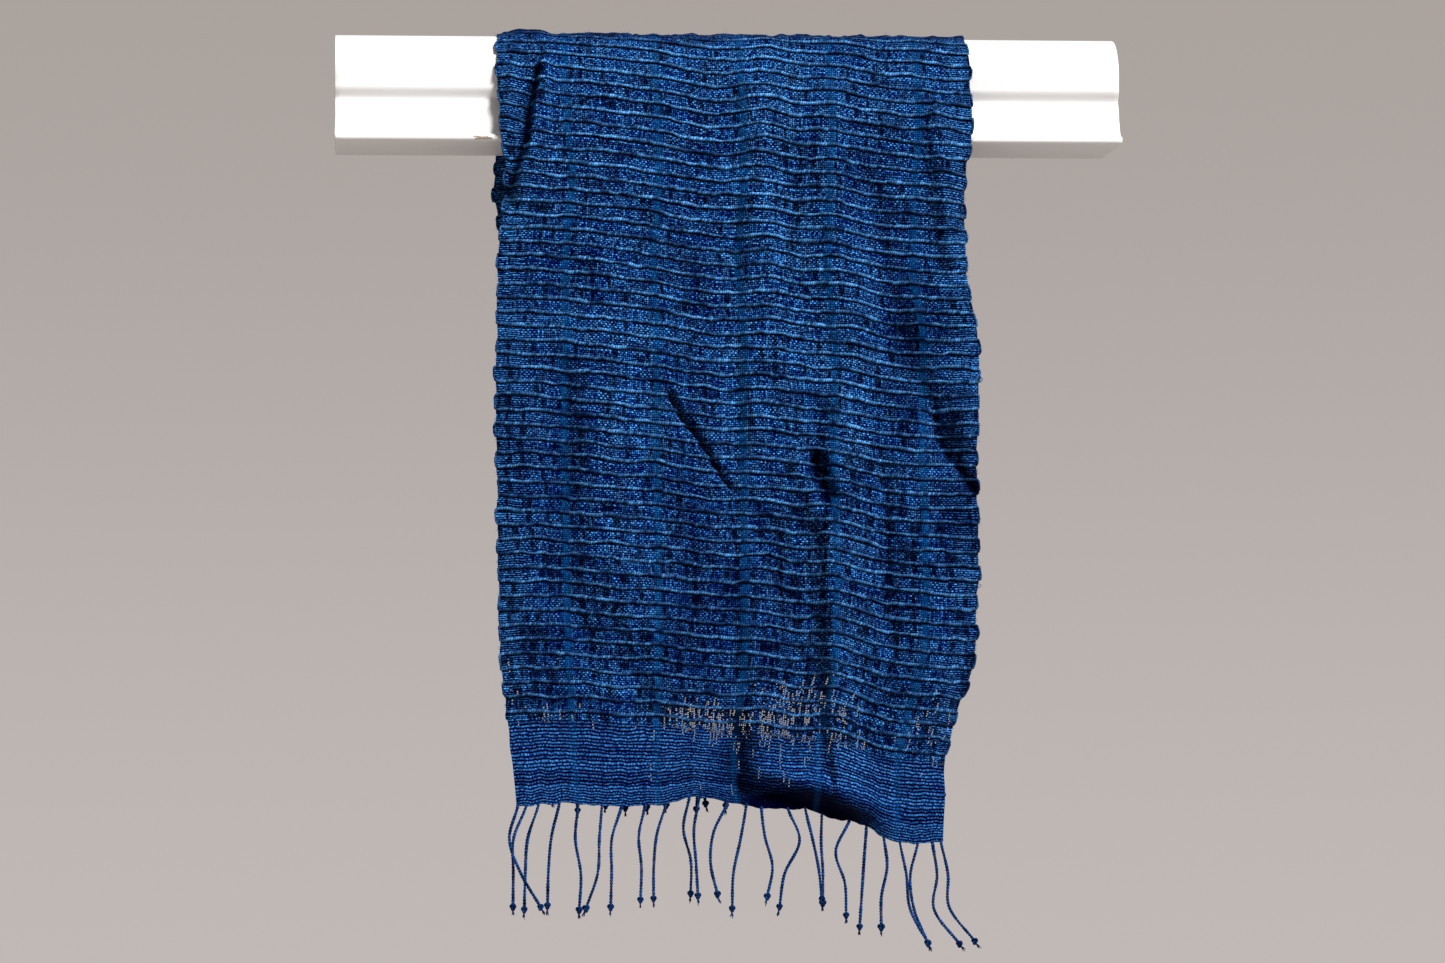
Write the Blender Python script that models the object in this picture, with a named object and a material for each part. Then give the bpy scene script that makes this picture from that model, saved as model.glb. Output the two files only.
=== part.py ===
"""Hand-woven silk scarf with thick weft cords and knotted fringes, hung over a moulded wooden handrail.

Metres, +Z up. The origin is the middle of the handrail's flat underside. +X runs along the rail, and the
longer drop of the scarf hangs on the -Y side.
"""

import math
from collections import namedtuple

import bmesh
import bpy
from mathutils import Vector

# Handrail
RAIL_LENGTH = 0.560
RAIL_HEIGHT = 0.080
BASE_HALF_WIDTH = 0.040
LIP_RADIUS = 0.0025
COVE_DEPTH = 0.0085
COVE_TOP = 0.031
CAP_HALF_WIDTH = 0.032
CAP_SPRING = 0.040
CAP_SQUARENESS = 2.3
CAP_BEAD = 0.003

# Cloth
WALL = 0.0016
CORD_PITCH = 0.0099
CORD_RELIEF = 0.0012
SEAM = 0.0003
RAIL_CLEARANCE = 0.0009
SADDLE_BEND = 0.006
COLUMNS = 22
SCALLOP = 0.0024
TURN_CORDS = 10
FRONT_CORDS = 50
BACK_CORDS = 42
BAND_ROWS = 5
FRONT_INNER_STEP = 2
BACK_INNER_STEP = 4
FOLD_SOFTNESS = 0.010

# Fringe
STRIP_DEPTH = 0.0030
STRIP_THICKNESS = 0.0018
STRAND_WIDTH = 0.0022
KNOT_WIDTH = 0.0040
KNOT_LENGTH = 0.0050
TAIL_LENGTH = 0.0060
BACK_STRANDS = 24
BACK_FRINGE_LENGTH = 0.071
BACK_SWAY = 0.0035

# Edges of the cloth at heights below the rail's underside
Outline = namedtuple("Outline", "down left right")
FRONT_OUTLINE = (
    Outline(-0.080, -0.1670, 0.1660),
    Outline(-0.045, -0.1660, 0.1690),
    Outline(0.000, -0.1630, 0.1685),
    Outline(0.018, -0.1610, 0.1655),
    Outline(0.047, -0.1645, 0.1642),
    Outline(0.079, -0.1680, 0.1640),
    Outline(0.100, -0.1695, 0.1650),
    Outline(0.137, -0.1695, 0.1730),
    Outline(0.170, -0.1700, 0.1740),
    Outline(0.211, -0.1695, 0.1720),
    Outline(0.252, -0.1680, 0.1730),
    Outline(0.302, -0.1675, 0.1740),
    Outline(0.338, -0.1663, 0.1730),
    Outline(0.372, -0.1645, 0.1670),
    Outline(0.404, -0.1605, 0.1590),
    Outline(0.441, -0.1560, 0.1510),
    Outline(0.469, -0.1530, 0.1500),
    Outline(0.494, -0.1510, 0.1490),
)
BACK_OUTLINE = (
    Outline(-0.080, -0.1670, 0.1660),
    Outline(0.000, -0.1660, 0.1665),
    Outline(0.035, -0.1668, 0.1660),
    Outline(0.100, -0.1680, 0.1650),
    Outline(0.180, -0.1655, 0.1685),
    Outline(0.250, -0.1630, 0.1680),
    Outline(0.330, -0.1600, 0.1630),
    Outline(0.400, -0.1540, 0.1560),
)

# The hems, below the rail's underside
Hem = namedtuple("Hem", "across down")
FRONT_HEM = (
    Hem(-0.153, 0.4690),
    Hem(-0.120, 0.4670),
    Hem(-0.085, 0.4690),
    Hem(-0.048, 0.4670),
    Hem(-0.025, 0.4625),
    Hem(0.000, 0.4670),
    Hem(0.030, 0.4710),
    Hem(0.054, 0.4710),
    Hem(0.077, 0.4780),
    Hem(0.095, 0.4810),
    Hem(0.112, 0.4900),
    Hem(0.130, 0.4945),
    Hem(0.149, 0.4930),
)
BACK_HEM = (
    Hem(-0.154, 0.3980),
    Hem(-0.110, 0.3935),
    Hem(-0.060, 0.3940),
    Hem(-0.010, 0.3860),
    Hem(0.045, 0.3800),
    Hem(0.100, 0.3725),
    Hem(0.156, 0.3690),
)

# How far each cord sags at the rail, at mid-height and at the last cord of the front
Sag = namedtuple("Sag", "across high middle low")
SAG = (
    Sag(-0.165, -0.0055, -0.0050, -0.0010),
    Sag(-0.122, -0.0035, -0.0040, -0.0028),
    Sag(-0.082, 0.0000, 0.0000, 0.0000),
    Sag(-0.058, 0.0030, 0.0015, 0.0007),
    Sag(-0.018, 0.0100, 0.0075, 0.0042),
    Sag(0.026, 0.0088, 0.0078, 0.0060),
    Sag(0.046, 0.0125, 0.0105, 0.0097),
    Sag(0.070, 0.0135, 0.0120, 0.0098),
    Sag(0.108, 0.0195, 0.0185, 0.0215),
    Sag(0.130, 0.0212, 0.0205, 0.0240),
    Sag(0.150, 0.0228, 0.0210, 0.0262),
    Sag(0.168, 0.0235, 0.0202, 0.0282),
)
SAG_MIDDLE_REACH = 0.300
SAG_LOW_REACH = 0.495
BACK_SAG_LEFT = 0.75

# Folds, each along a bent line of (across, down) places: a positive height stands out, a negative one sinks
Fold = namedtuple("Fold", "name start middle end width height")
FRONT_FOLDS = (
    Fold("left selvedge ridge", (-0.160, -0.050), (-0.159, -0.006), (-0.166, 0.032), 0.006, 0.0040),
    Fold("left pleat ridge", (-0.133, -0.055), (-0.140, 0.000), (-0.149, 0.045), 0.008, 0.0045),
    Fold("left pleat valley", (-0.151, -0.010), (-0.154, 0.015), (-0.163, 0.036), 0.005, -0.0050),
    Fold("upper ridge", (0.010, -0.037), (0.015, 0.015), (0.022, 0.064), 0.012, 0.0045),
    Fold("upper valley", (0.032, 0.010), (0.033, 0.040), (0.032, 0.075), 0.009, -0.0030),
    Fold("long ridge", (0.063, -0.034), (0.070, 0.064), (0.081, 0.138), 0.013, 0.0075),
    Fold("long valley", (0.088, 0.001), (0.112, 0.127), (0.166, 0.246), 0.011, -0.0095),
    Fold("right ridge", (0.140, -0.020), (0.147, 0.030), (0.151, 0.070), 0.010, 0.0055),
    Fold("right edge turned back", (0.168, 0.010), (0.166, 0.030), (0.165, 0.055), 0.007, -0.0070),
    Fold("right hand swell", (0.158, 0.110), (0.162, 0.160), (0.166, 0.200), 0.014, 0.0050),
    Fold("middle valley", (0.000, 0.057), (0.000, 0.250), (0.005, 0.449), 0.009, -0.0045),
    Fold("slanting crease", (-0.050, 0.176), (-0.026, 0.211), (0.000, 0.246), 0.006, -0.0055),
    Fold("left valley", (-0.121, 0.169), (-0.119, 0.295), (-0.101, 0.362), 0.009, -0.0065),
    Fold("left swell", (-0.152, 0.183), (-0.146, 0.253), (-0.149, 0.337), 0.015, 0.0045),
    Fold("left middle swell", (-0.095, 0.090), (-0.090, 0.240), (-0.080, 0.330), 0.022, 0.0035),
    Fold("pocket", (0.063, 0.211), (0.061, 0.232), (0.065, 0.250), 0.010, -0.0070),
    Fold("pocket rim", (0.039, 0.215), (0.054, 0.265), (0.083, 0.248), 0.011, 0.0035),
    Fold("hollow", (0.028, 0.285), (0.038, 0.325), (0.045, 0.375), 0.016, -0.0085),
    Fold("lower ridge", (0.061, 0.265), (0.063, 0.351), (0.071, 0.442), 0.012, 0.0085),
    Fold("right valley", (0.105, 0.232), (0.107, 0.288), (0.111, 0.351), 0.009, -0.0045),
    Fold("right lower swell", (0.135, 0.290), (0.140, 0.340), (0.132, 0.385), 0.015, 0.0045),
    Fold("lower left valley", (-0.089, 0.337), (-0.077, 0.365), (-0.063, 0.404), 0.008, -0.0045),
    Fold("curved lower valley", (0.091, 0.425), (0.095, 0.404), (0.116, 0.390), 0.007, -0.0045),
    Fold("right edge curled back", (0.174, 0.320), (0.162, 0.390), (0.152, 0.445), 0.010, -0.0080),
    Fold("hem valley", (-0.005, 0.405), (0.002, 0.432), (0.002, 0.452), 0.010, -0.0080),
    Fold("hem roll", (0.008, 0.437), (0.058, 0.449), (0.108, 0.480), 0.010, 0.0085),
    Fold("hem shadow", (0.006, 0.456), (0.046, 0.469), (0.090, 0.478), 0.008, -0.0070),
)
BACK_FOLDS = (
    Fold("left ridge", (-0.130, -0.040), (-0.135, 0.090), (-0.128, 0.230), 0.014, 0.0070),
    Fold("left valley", (-0.105, 0.030), (-0.100, 0.180), (-0.112, 0.340), 0.012, -0.0075),
    Fold("inner ridge", (-0.070, -0.030), (-0.060, 0.140), (-0.072, 0.310), 0.015, 0.0060),
    Fold("middle valley", (-0.025, 0.060), (-0.015, 0.220), (-0.030, 0.370), 0.013, -0.0070),
    Fold("middle ridge", (0.020, 0.020), (0.030, 0.190), (0.018, 0.350), 0.014, 0.0070),
    Fold("right valley", (0.065, 0.020), (0.078, 0.170), (0.070, 0.330), 0.012, -0.0080),
    Fold("right ridge", (0.110, -0.030), (0.118, 0.120), (0.105, 0.300), 0.014, 0.0065),
    Fold("edge turned back", (0.166, 0.020), (0.167, 0.150), (0.160, 0.300), 0.012, -0.0060),
    Fold("left hem roll", (-0.130, 0.375), (-0.085, 0.368), (-0.045, 0.378), 0.011, 0.0060),
    Fold("right hem roll", (0.050, 0.352), (0.090, 0.345), (0.130, 0.350), 0.011, 0.0060),
)
SINK_START = 0.004
SINK_FULL = 0.034

# Front strands: where each one lies across at its root, a third down, two thirds down and at its knot,
# how far below the rail's underside its knot hangs, and how far in front of the hem it swings
Strand = namedtuple("Strand", "root third two_thirds knot knot_down forward")
FRONT_STRANDS = (
    Strand(-0.1510, -0.1570, -0.1490, -0.1350, 0.539, 0.005),
    Strand(-0.1450, -0.1540, -0.1540, -0.1540, 0.539, 0.000),
    Strand(-0.1365, -0.1440, -0.1455, -0.1460, 0.541, -0.004),
    Strand(-0.1220, -0.1275, -0.1295, -0.1300, 0.538, 0.000),
    Strand(-0.1090, -0.1110, -0.1070, -0.1080, 0.541, 0.002),
    Strand(-0.0925, -0.0940, -0.0950, -0.1030, 0.540, -0.003),
    Strand(-0.0785, -0.0855, -0.0855, -0.0860, 0.539, 0.001),
    Strand(-0.0620, -0.0665, -0.0645, -0.0650, 0.534, -0.001),
    Strand(-0.0475, -0.0540, -0.0560, -0.0560, 0.533, 0.002),
    Strand(-0.0310, -0.0350, -0.0295, -0.0295, 0.530, -0.004),
    Strand(-0.0240, -0.0280, -0.0265, -0.0250, 0.531, 0.003),
    Strand(-0.0040, -0.0140, -0.0160, -0.0110, 0.530, 0.000),
    Strand(0.0090, 0.0050, 0.0000, -0.0007, 0.540, 0.001),
    Strand(0.0196, 0.0225, 0.0280, 0.0245, 0.532, -0.002),
    Strand(0.0385, 0.0470, 0.0365, 0.0330, 0.539, 0.001),
    Strand(0.0510, 0.0560, 0.0605, 0.0630, 0.534, 0.004),
    Strand(0.0630, 0.0630, 0.0645, 0.0645, 0.537, -0.004),
    Strand(0.0825, 0.0725, 0.0790, 0.0800, 0.545, 0.001),
    Strand(0.0940, 0.0925, 0.0910, 0.0895, 0.553, -0.001),
    Strand(0.1055, 0.1080, 0.1040, 0.1040, 0.553, 0.001),
    Strand(0.1170, 0.1215, 0.1240, 0.1365, 0.564, 0.004),
    Strand(0.1300, 0.1250, 0.1280, 0.1380, 0.565, -0.004),
    Strand(0.1400, 0.1435, 0.1415, 0.1595, 0.565, 0.000),
    Strand(0.1460, 0.1510, 0.1520, 0.1700, 0.563, 0.002),
)

Material = namedtuple("Material", "name colour roughness")
SILK = Material("indigo silk", (0.010, 0.055, 0.220, 1.0), 0.62)
FRINGE_SILK = Material("twisted indigo silk", (0.008, 0.035, 0.130, 1.0), 0.70)
PAINT = Material("white paint", (0.80, 0.79, 0.77, 1.0), 0.35)


def mix(low, high, share):
    """The value a share of the way from low to high."""
    return low + (high - low) * share


def ease(share):
    """A share from 0 to 1 that starts and ends softly."""
    held = min(max(share, 0.0), 1.0)
    return held * held * (3.0 - 2.0 * held)


def read_table(rows, key, column, place):
    """A column of a table at a place between its rows, on the straight line between them."""
    high = next((i for i, row in enumerate(rows) if getattr(row, key) >= place), len(rows) - 1)
    high = max(high, 1)
    before, after = rows[high - 1], rows[high]
    start = getattr(before, key)
    share = (place - start) / (getattr(after, key) - start)
    return mix(getattr(before, column), getattr(after, column), min(max(share, 0.0), 1.0))


def cap_point(angle, spread=0.0):
    """A point of the rail's rounded cap, at an angle up from its spring line, moved out by a spread."""
    power = 2.0 / CAP_SQUARENESS
    side = (CAP_HALF_WIDTH + spread) * math.cos(angle) ** power
    height = CAP_SPRING + (RAIL_HEIGHT - CAP_SPRING + spread) * math.sin(angle) ** power
    return side, height


def rail_outline():
    """The rail's right half in section: base, round lip, cove, bead and cap, then the same mirrored."""
    half = []
    lip_centre = BASE_HALF_WIDTH - LIP_RADIUS
    for step in range(7):
        angle = math.radians(-90 + 30 * step)
        half.append((lip_centre + LIP_RADIUS * math.cos(angle), LIP_RADIUS * (1 + math.sin(angle))))
    cove_side = lip_centre - 0.001
    for step in range(9):
        angle = math.radians(90 * step / 8)
        side = cove_side - COVE_DEPTH * math.sin(angle)
        half.append((side, COVE_TOP - (COVE_TOP - 2 * LIP_RADIUS) * math.cos(angle)))
    bead_centre = CAP_HALF_WIDTH - CAP_BEAD
    for step in range(4):
        angle = math.radians(-90 + 30 * step)
        bead_height = COVE_TOP + 0.002 + CAP_BEAD * (1 + math.sin(angle))
        half.append((bead_centre + CAP_BEAD * math.cos(angle), bead_height))
    for step in range(1, 16):
        half.append(cap_point(math.radians(90 * step / 15)))
    mirrored = [(-side, height) for side, height in reversed(half[:-1])]
    return half + mirrored


def saddle_line():
    """The line that taut cloth takes from the rail's crown over the cap to the lip, and then straight down."""
    lip = (BASE_HALF_WIDTH + RAIL_CLEARANCE, LIP_RADIUS)
    cap = [cap_point(math.radians(90 - 1.5 * step), RAIL_CLEARANCE) for step in range(61)]
    slopes = [math.atan2(side - lip[0], height - lip[1]) for side, height in cap]
    leaves = slopes.index(max(slopes))
    line = cap[:leaves + 1]
    line.append(lip)
    line.append((lip[0], lip[1] - 1.0))
    return line


SADDLE = saddle_line()
SADDLE_REACH = [0.0]
for start_point, end_point in zip(SADDLE, SADDLE[1:]):
    SADDLE_REACH.append(SADDLE_REACH[-1] + math.dist(start_point, end_point))
LIP_REACH = SADDLE_REACH[-2]


def saddle_heading(segment):
    """The angle of one segment of the saddle line below the horizontal."""
    start, end = SADDLE[segment], SADDLE[segment + 1]
    return math.atan2(start[1] - end[1], end[0] - start[0])


def saddle(reach):
    """Place and outward direction on the saddle line, at a distance in front of (+) or behind (-) the crown.
    The direction turns evenly through each bend of the line."""
    length = abs(reach)
    last = len(SADDLE) - 2
    segment = next(i for i in range(last + 1) if SADDLE_REACH[i + 1] >= length)
    from_start = length - SADDLE_REACH[segment]
    to_end = SADDLE_REACH[segment + 1] - length
    share = from_start / (from_start + to_end)
    side = mix(SADDLE[segment][0], SADDLE[segment + 1][0], share)
    height = mix(SADDLE[segment][1], SADDLE[segment + 1][1], share)
    heading = saddle_heading(segment)
    before = saddle_heading(segment - 1) if segment > 0 else -heading
    after = saddle_heading(segment + 1) if segment < last else heading
    bend = min(SADDLE_BEND, (from_start + to_end) / 2)
    if from_start < bend:
        heading = mix((before + heading) / 2, heading, from_start / bend)
    elif to_end < bend:
        heading = mix((after + heading) / 2, heading, to_end / bend)
    turn = -1.0 if reach >= 0.0 else 1.0
    return side * turn, height, math.sin(heading) * turn, math.cos(heading)


def cord_sag(across, distance):
    """How far a cord moves towards the front drop at a place across, by its distance from the crown."""
    high = read_table(SAG, "across", "high", across)
    if distance <= LIP_REACH:
        held = mix(1.0, BACK_SAG_LEFT, min(max(-distance / SAG_LOW_REACH, 0.0), 1.0))
        return high * held
    middle = read_table(SAG, "across", "middle", across)
    if distance <= SAG_MIDDLE_REACH:
        return mix(high, middle, (distance - LIP_REACH) / (SAG_MIDDLE_REACH - LIP_REACH))
    low = read_table(SAG, "across", "low", across)
    return mix(middle, low, min((distance - SAG_MIDDLE_REACH) / (SAG_LOW_REACH - SAG_MIDDLE_REACH), 1.0))


def distance_to_line(across, down, fold):
    """The shortest distance from a place on the drop to a fold's bent line."""
    place = Vector((across, down))
    nearest = math.inf
    for start, end in ((fold.start, fold.middle), (fold.middle, fold.end)):
        start, end = Vector(start), Vector(end)
        along = (end - start).normalized()
        travel = min(max((place - start).dot(along), 0.0), (end - start).length)
        nearest = min(nearest, (place - start - along * travel).length)
    return nearest


def relief(folds, across, down):
    """How far the folds push the cloth out: each is a bell-shaped ridge or trough along its line."""
    total = 0.0
    for fold in folds:
        width = max(fold.width, FOLD_SOFTNESS)
        total += fold.height * math.exp(-(distance_to_line(across, down, fold) / width) ** 2)
    if total < 0.0:
        total *= ease((down - SINK_START) / (SINK_FULL - SINK_START))
    return total


def cloth_point(share, distance, band, lift, flare):
    """A point of the cloth, from its share across, its distance from the crown (front is +), its share of
    the way down the plain end band, its lift off the inner face and its flare past the selvedge."""
    front = distance >= 0.0
    outline = FRONT_OUTLINE if front else BACK_OUTLINE
    down = -saddle(distance)[1]
    left = read_table(outline, "down", "left", down)
    right = read_table(outline, "down", "right", down)
    across = mix(left, right, share)
    reach = distance + cord_sag(across, distance)
    if band > 0.0:
        hem = read_table(FRONT_HEM if front else BACK_HEM, "across", "down", across)
        hem_reach = LIP_REACH + LIP_RADIUS + hem
        reach = mix(reach, hem_reach if front else -hem_reach, band)
    side, height, out_side, out_height = saddle(reach)
    left = read_table(outline, "down", "left", -height)
    right = read_table(outline, "down", "right", -height)
    across = mix(left, right, share) + flare
    out = lift + relief(FRONT_FOLDS if front else BACK_FOLDS, across, -height)
    return Vector((across, side + out_side * out, height + out_height * out))


def scallop(column, half_step):
    """How far the selvedge bulges where two cords are joined by a turn, on alternate pairs left and right."""
    if column == 0:
        return -SCALLOP * (0.5 + 0.5 * math.cos(math.pi * (half_step + 1) / 2))
    if column == COLUMNS:
        return SCALLOP * (0.5 + 0.5 * math.cos(math.pi * (half_step - 1) / 2))
    return 0.0


def cloth_rows(first, last, band_rows, seam):
    """Rows of a stretch of cloth as (distance, share of the end band, half step or None): a row on each
    cord, at even half steps, and one between each pair."""
    way = 1 if last > first else -1
    rows = [(step * CORD_PITCH / 2, 0.0, step) for step in range(first, last + way, way)]
    rows[0] = (rows[0][0] + way * seam, 0.0, first)
    for row in range(1, band_rows + 1):
        rows.append((rows[-1][0] if row > 1 else last * CORD_PITCH / 2, row / band_rows, None))
    return rows


def outer_line(row):
    """The outer points of one row, with a cord's crest raised over the plain wall."""
    distance, band, half_step = row
    on_cord = half_step is not None and half_step % 2 == 0
    lift = WALL + (CORD_RELIEF if on_cord else 0.0)
    points = []
    for column in range(COLUMNS + 1):
        flare = 0.0 if half_step is None else scallop(column, half_step)
        points.append(cloth_point(column / COLUMNS, distance, band, lift, flare))
    return points


def inner_line(row):
    """The plain inner points of one row."""
    distance, band, _ = row
    return [cloth_point(column / COLUMNS, distance, band, 0.0, 0.0) for column in range(COLUMNS + 1)]


def close_side(mesh, outer, inner, inner_rows, column):
    """Joins the fine outer edge to the plain inner edge along one selvedge, as fans of triangles."""
    for place, (start, end) in enumerate(zip(inner_rows, inner_rows[1:])):
        near, far = inner[place][column], inner[place + 1][column]
        middle = (start + end) // 2
        for row in range(start, end):
            corner = near if row < middle else far
            mesh.faces.new((outer[row][column], outer[row + 1][column], corner))
        mesh.faces.new((outer[middle][column], far, near))


def add_grid(mesh, grid):
    """Quads over a grid of vertices."""
    for upper, lower in zip(grid, grid[1:]):
        for column in range(len(upper) - 1):
            mesh.faces.new((upper[column], upper[column + 1], lower[column + 1], lower[column]))


def make_material(finish):
    """A Principled material with one colour and roughness."""
    material = bpy.data.materials.get(finish.name)
    if material is None:
        material = bpy.data.materials.new(finish.name)
        material.use_nodes = True
        shader = material.node_tree.nodes["Principled BSDF"]
        shader.inputs["Base Color"].default_value = finish.colour
        shader.inputs["Roughness"].default_value = finish.roughness
        shader.inputs["Metallic"].default_value = 0.0
    return material


def add_object(name, data, finish, collection, parent):
    """Puts a named object with its own material in the collection, under the part's empty."""
    data.materials.append(make_material(finish))
    item = bpy.data.objects.new(name, data)
    item.parent = parent
    collection.objects.link(item)
    return item


def mesh_from(name, built):
    """Turns the built faces outwards, stores them as mesh data and shades them smooth."""
    bmesh.ops.recalc_face_normals(built, faces=built.faces)
    data = bpy.data.meshes.new(name)
    built.to_mesh(data)
    built.free()
    data.shade_smooth()
    return data


def cloth_stretch(name, rows, inner_rows, collection, parent):
    """One stretch of the scarf: a ribbed outer face over a plain inner one, closed at all four edges."""
    built = bmesh.new()
    outer = [[built.verts.new(point) for point in outer_line(row)] for row in rows]
    inner = [[built.verts.new(point) for point in inner_line(rows[place])] for place in inner_rows]
    add_grid(built, outer)
    add_grid(built, inner)
    add_grid(built, [outer[0], inner[0]])
    add_grid(built, [outer[-1], inner[-1]])
    for column in (0, COLUMNS):
        close_side(built, outer, inner, inner_rows, column)
    return add_object(name, mesh_from(name, built), SILK, collection, parent)


def drop_inner_rows(cord_rows, every):
    """The rows that a drop's plain inner face keeps: one for every so many half steps of the cords, and each
    of the end band's."""
    last_cord_row = cord_rows - 1
    return list(range(0, last_cord_row, every)) + list(range(last_cord_row, cord_rows + BAND_ROWS))


def hem_line(distance):
    """The middle of the wall along a hem, one point for each column of the cloth."""
    return [cloth_point(column / COLUMNS, distance, 1.0, WALL / 2, 0.0) for column in range(COLUMNS + 1)]


def hem_place(line, across):
    """The point of a hem line at a place across."""
    after = next((i for i, point in enumerate(line) if point.x >= across), len(line) - 1)
    after = max(after, 1)
    start, end = line[after - 1], line[after]
    return start.lerp(end, (across - start.x) / (end.x - start.x))


def ring(built, centre, width, thickness):
    """Four corners round a strand, level, in the order of the strip's underside."""
    corners = ((-0.5, -0.5), (0.5, -0.5), (0.5, 0.5), (-0.5, 0.5))
    return [built.verts.new(centre + Vector((x * width, y * thickness, 0.0))) for x, y in corners]


def strand_rings(built, root, strand, outward):
    """The rings of one strand below its root: two bends, a neck, a knot and a short tail."""
    knot_height = -strand.knot_down
    side = root.y + outward * strand.forward
    drop = root.z - knot_height
    neck = knot_height + KNOT_LENGTH / 2
    under_knot = knot_height - KNOT_LENGTH / 2
    tail_lean = (strand.knot - strand.two_thirds) * 0.15
    neck_across = mix(strand.knot, strand.two_thirds, 0.10)
    stations = (
        (strand.third, mix(root.y, side, 0.7), root.z - drop / 3, 1.0),
        (strand.two_thirds, side, root.z - drop * 2 / 3, 1.0),
        (neck_across, side, neck, 1.0),
        (strand.knot, side, knot_height, KNOT_WIDTH / STRAND_WIDTH),
        (strand.knot + tail_lean / 2, side, under_knot, 0.9),
        (strand.knot + tail_lean, side, under_knot - TAIL_LENGTH, 1.3),
    )
    return [ring(built, Vector((across, depth, height)), STRAND_WIDTH * size, STRIP_THICKNESS * size)
            for across, depth, height, size in stations]


def strip_stations(line, strands):
    """Places across where the strip has a section, each with the strand that grows from there to the next:
    both edges of every root, and the cloth's own columns between them."""
    inset = 0.0004
    stations = [(line[0].x + inset, None), (line[-1].x - inset, None)]
    for strand in strands:
        stations += [(strand.root - STRAND_WIDTH / 2, strand), (strand.root + STRAND_WIDTH / 2, None)]
    taken = [across for across, _ in stations]
    for point in line[1:-1]:
        clear = STRAND_WIDTH / 2
        if min(abs(point.x - across) for across in taken) > clear:
            stations.append((point.x, None))
    return sorted(stations, key=lambda station: station[0])


def strip_section(built, line, across):
    """Four corners of the strip's section, just below the hem."""
    hem = hem_place(line, across)
    heights = (hem.z - SEAM, hem.z - SEAM - STRIP_DEPTH)
    sides = (hem.y - STRIP_THICKNESS / 2, hem.y + STRIP_THICKNESS / 2)
    corners = ((sides[0], heights[0]), (sides[1], heights[0]), (sides[1], heights[1]), (sides[0], heights[1]))
    return [built.verts.new((across, side, height)) for side, height in corners]


def fringe(name, line, strands, outward, collection, parent):
    """A narrow strip along a hem, with a knotted strand growing down from it at each root."""
    built = bmesh.new()
    stations = strip_stations(line, strands)
    sections = [strip_section(built, line, across) for across, _ in stations]
    built.faces.new(sections[0])
    built.faces.new(sections[-1])
    for (_, strand), left, right in zip(stations, sections, sections[1:]):
        for corner in (0, 1, 3):
            following = (corner + 1) % 4
            built.faces.new((left[corner], left[following], right[following], right[corner]))
        upper = [left[3], right[3], right[2], left[2]]
        if strand is not None:
            root = sum((corner.co for corner in upper), Vector()) / 4
            for lower in strand_rings(built, root, strand, outward):
                for corner in range(4):
                    following = (corner + 1) % 4
                    built.faces.new((upper[corner], upper[following], lower[following], lower[corner]))
                upper = lower
        built.faces.new(upper)
    return add_object(name, mesh_from(name, built), FRINGE_SILK, collection, parent)


def back_strands(line):
    """The back fringe's strands, evenly rooted and swaying by a slow wave from one to the next."""
    strands = []
    margin = 0.004
    for count in range(BACK_STRANDS):
        root = mix(line[0].x + margin, line[-1].x - margin, count / (BACK_STRANDS - 1))
        sway = BACK_SWAY * math.sin(1.9 * count)
        knot_down = BACK_FRINGE_LENGTH - hem_place(line, root).z + 0.003 * math.sin(2.6 * count)
        forward = 0.002 * math.cos(2.3 * count)
        strands.append(Strand(root, root + sway * 0.7, root + sway, root + sway * 0.6, knot_down, forward))
    return strands


def handrail(collection, parent):
    """A plain stretch of moulded rail: its section as a filled flat outline, extruded both ways."""
    data = bpy.data.curves.new("rail", "CURVE")
    data.dimensions = "2D"
    data.fill_mode = "BOTH"
    data.extrude = RAIL_LENGTH / 2
    outline = rail_outline()
    spline = data.splines.new("POLY")
    spline.points.add(len(outline) - 1)
    for point, (side, height) in zip(spline.points, outline):
        point.co = (side, height, 0.0, 1.0)
    spline.use_cyclic_u = True
    item = add_object("rail", data, PAINT, collection, parent)
    item.rotation_euler = (math.pi / 2, 0.0, math.pi / 2)
    return item


def build():
    """The rail, the scarf's three stretches and its two fringes."""
    for item in list(bpy.data.objects):
        bpy.data.objects.remove(item)
    collection = bpy.data.collections.new("scarf on handrail")
    bpy.context.scene.collection.children.link(collection)
    origin = bpy.data.objects.new("scarf origin", None)
    collection.objects.link(origin)

    handrail(collection, origin)

    turn_edge = 2 * TURN_CORDS + 1
    front_edge = 2 * FRONT_CORDS + 1
    back_edge = 2 * BACK_CORDS + 1
    turn_rows = cloth_rows(-turn_edge, turn_edge, 0, 0.0)
    front_rows = cloth_rows(turn_edge, front_edge, BAND_ROWS, SEAM)
    back_rows = cloth_rows(-turn_edge, -back_edge, BAND_ROWS, SEAM)
    turn_inner = list(range(0, len(turn_rows), 2))
    front_inner = drop_inner_rows(front_edge - turn_edge + 1, FRONT_INNER_STEP)
    back_inner = drop_inner_rows(back_edge - turn_edge + 1, BACK_INNER_STEP)
    cloth_stretch("scarf_over_rail", turn_rows, turn_inner, collection, origin)
    cloth_stretch("scarf_front", front_rows, front_inner, collection, origin)
    cloth_stretch("scarf_back", back_rows, back_inner, collection, origin)

    front_hem = hem_line(front_edge * CORD_PITCH / 2)
    back_hem = hem_line(-back_edge * CORD_PITCH / 2)
    fringe("fringe_front", front_hem, FRONT_STRANDS, -1.0, collection, origin)
    fringe("fringe_back", back_hem, back_strands(back_hem), 1.0, collection, origin)


build()
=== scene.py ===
import math

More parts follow.
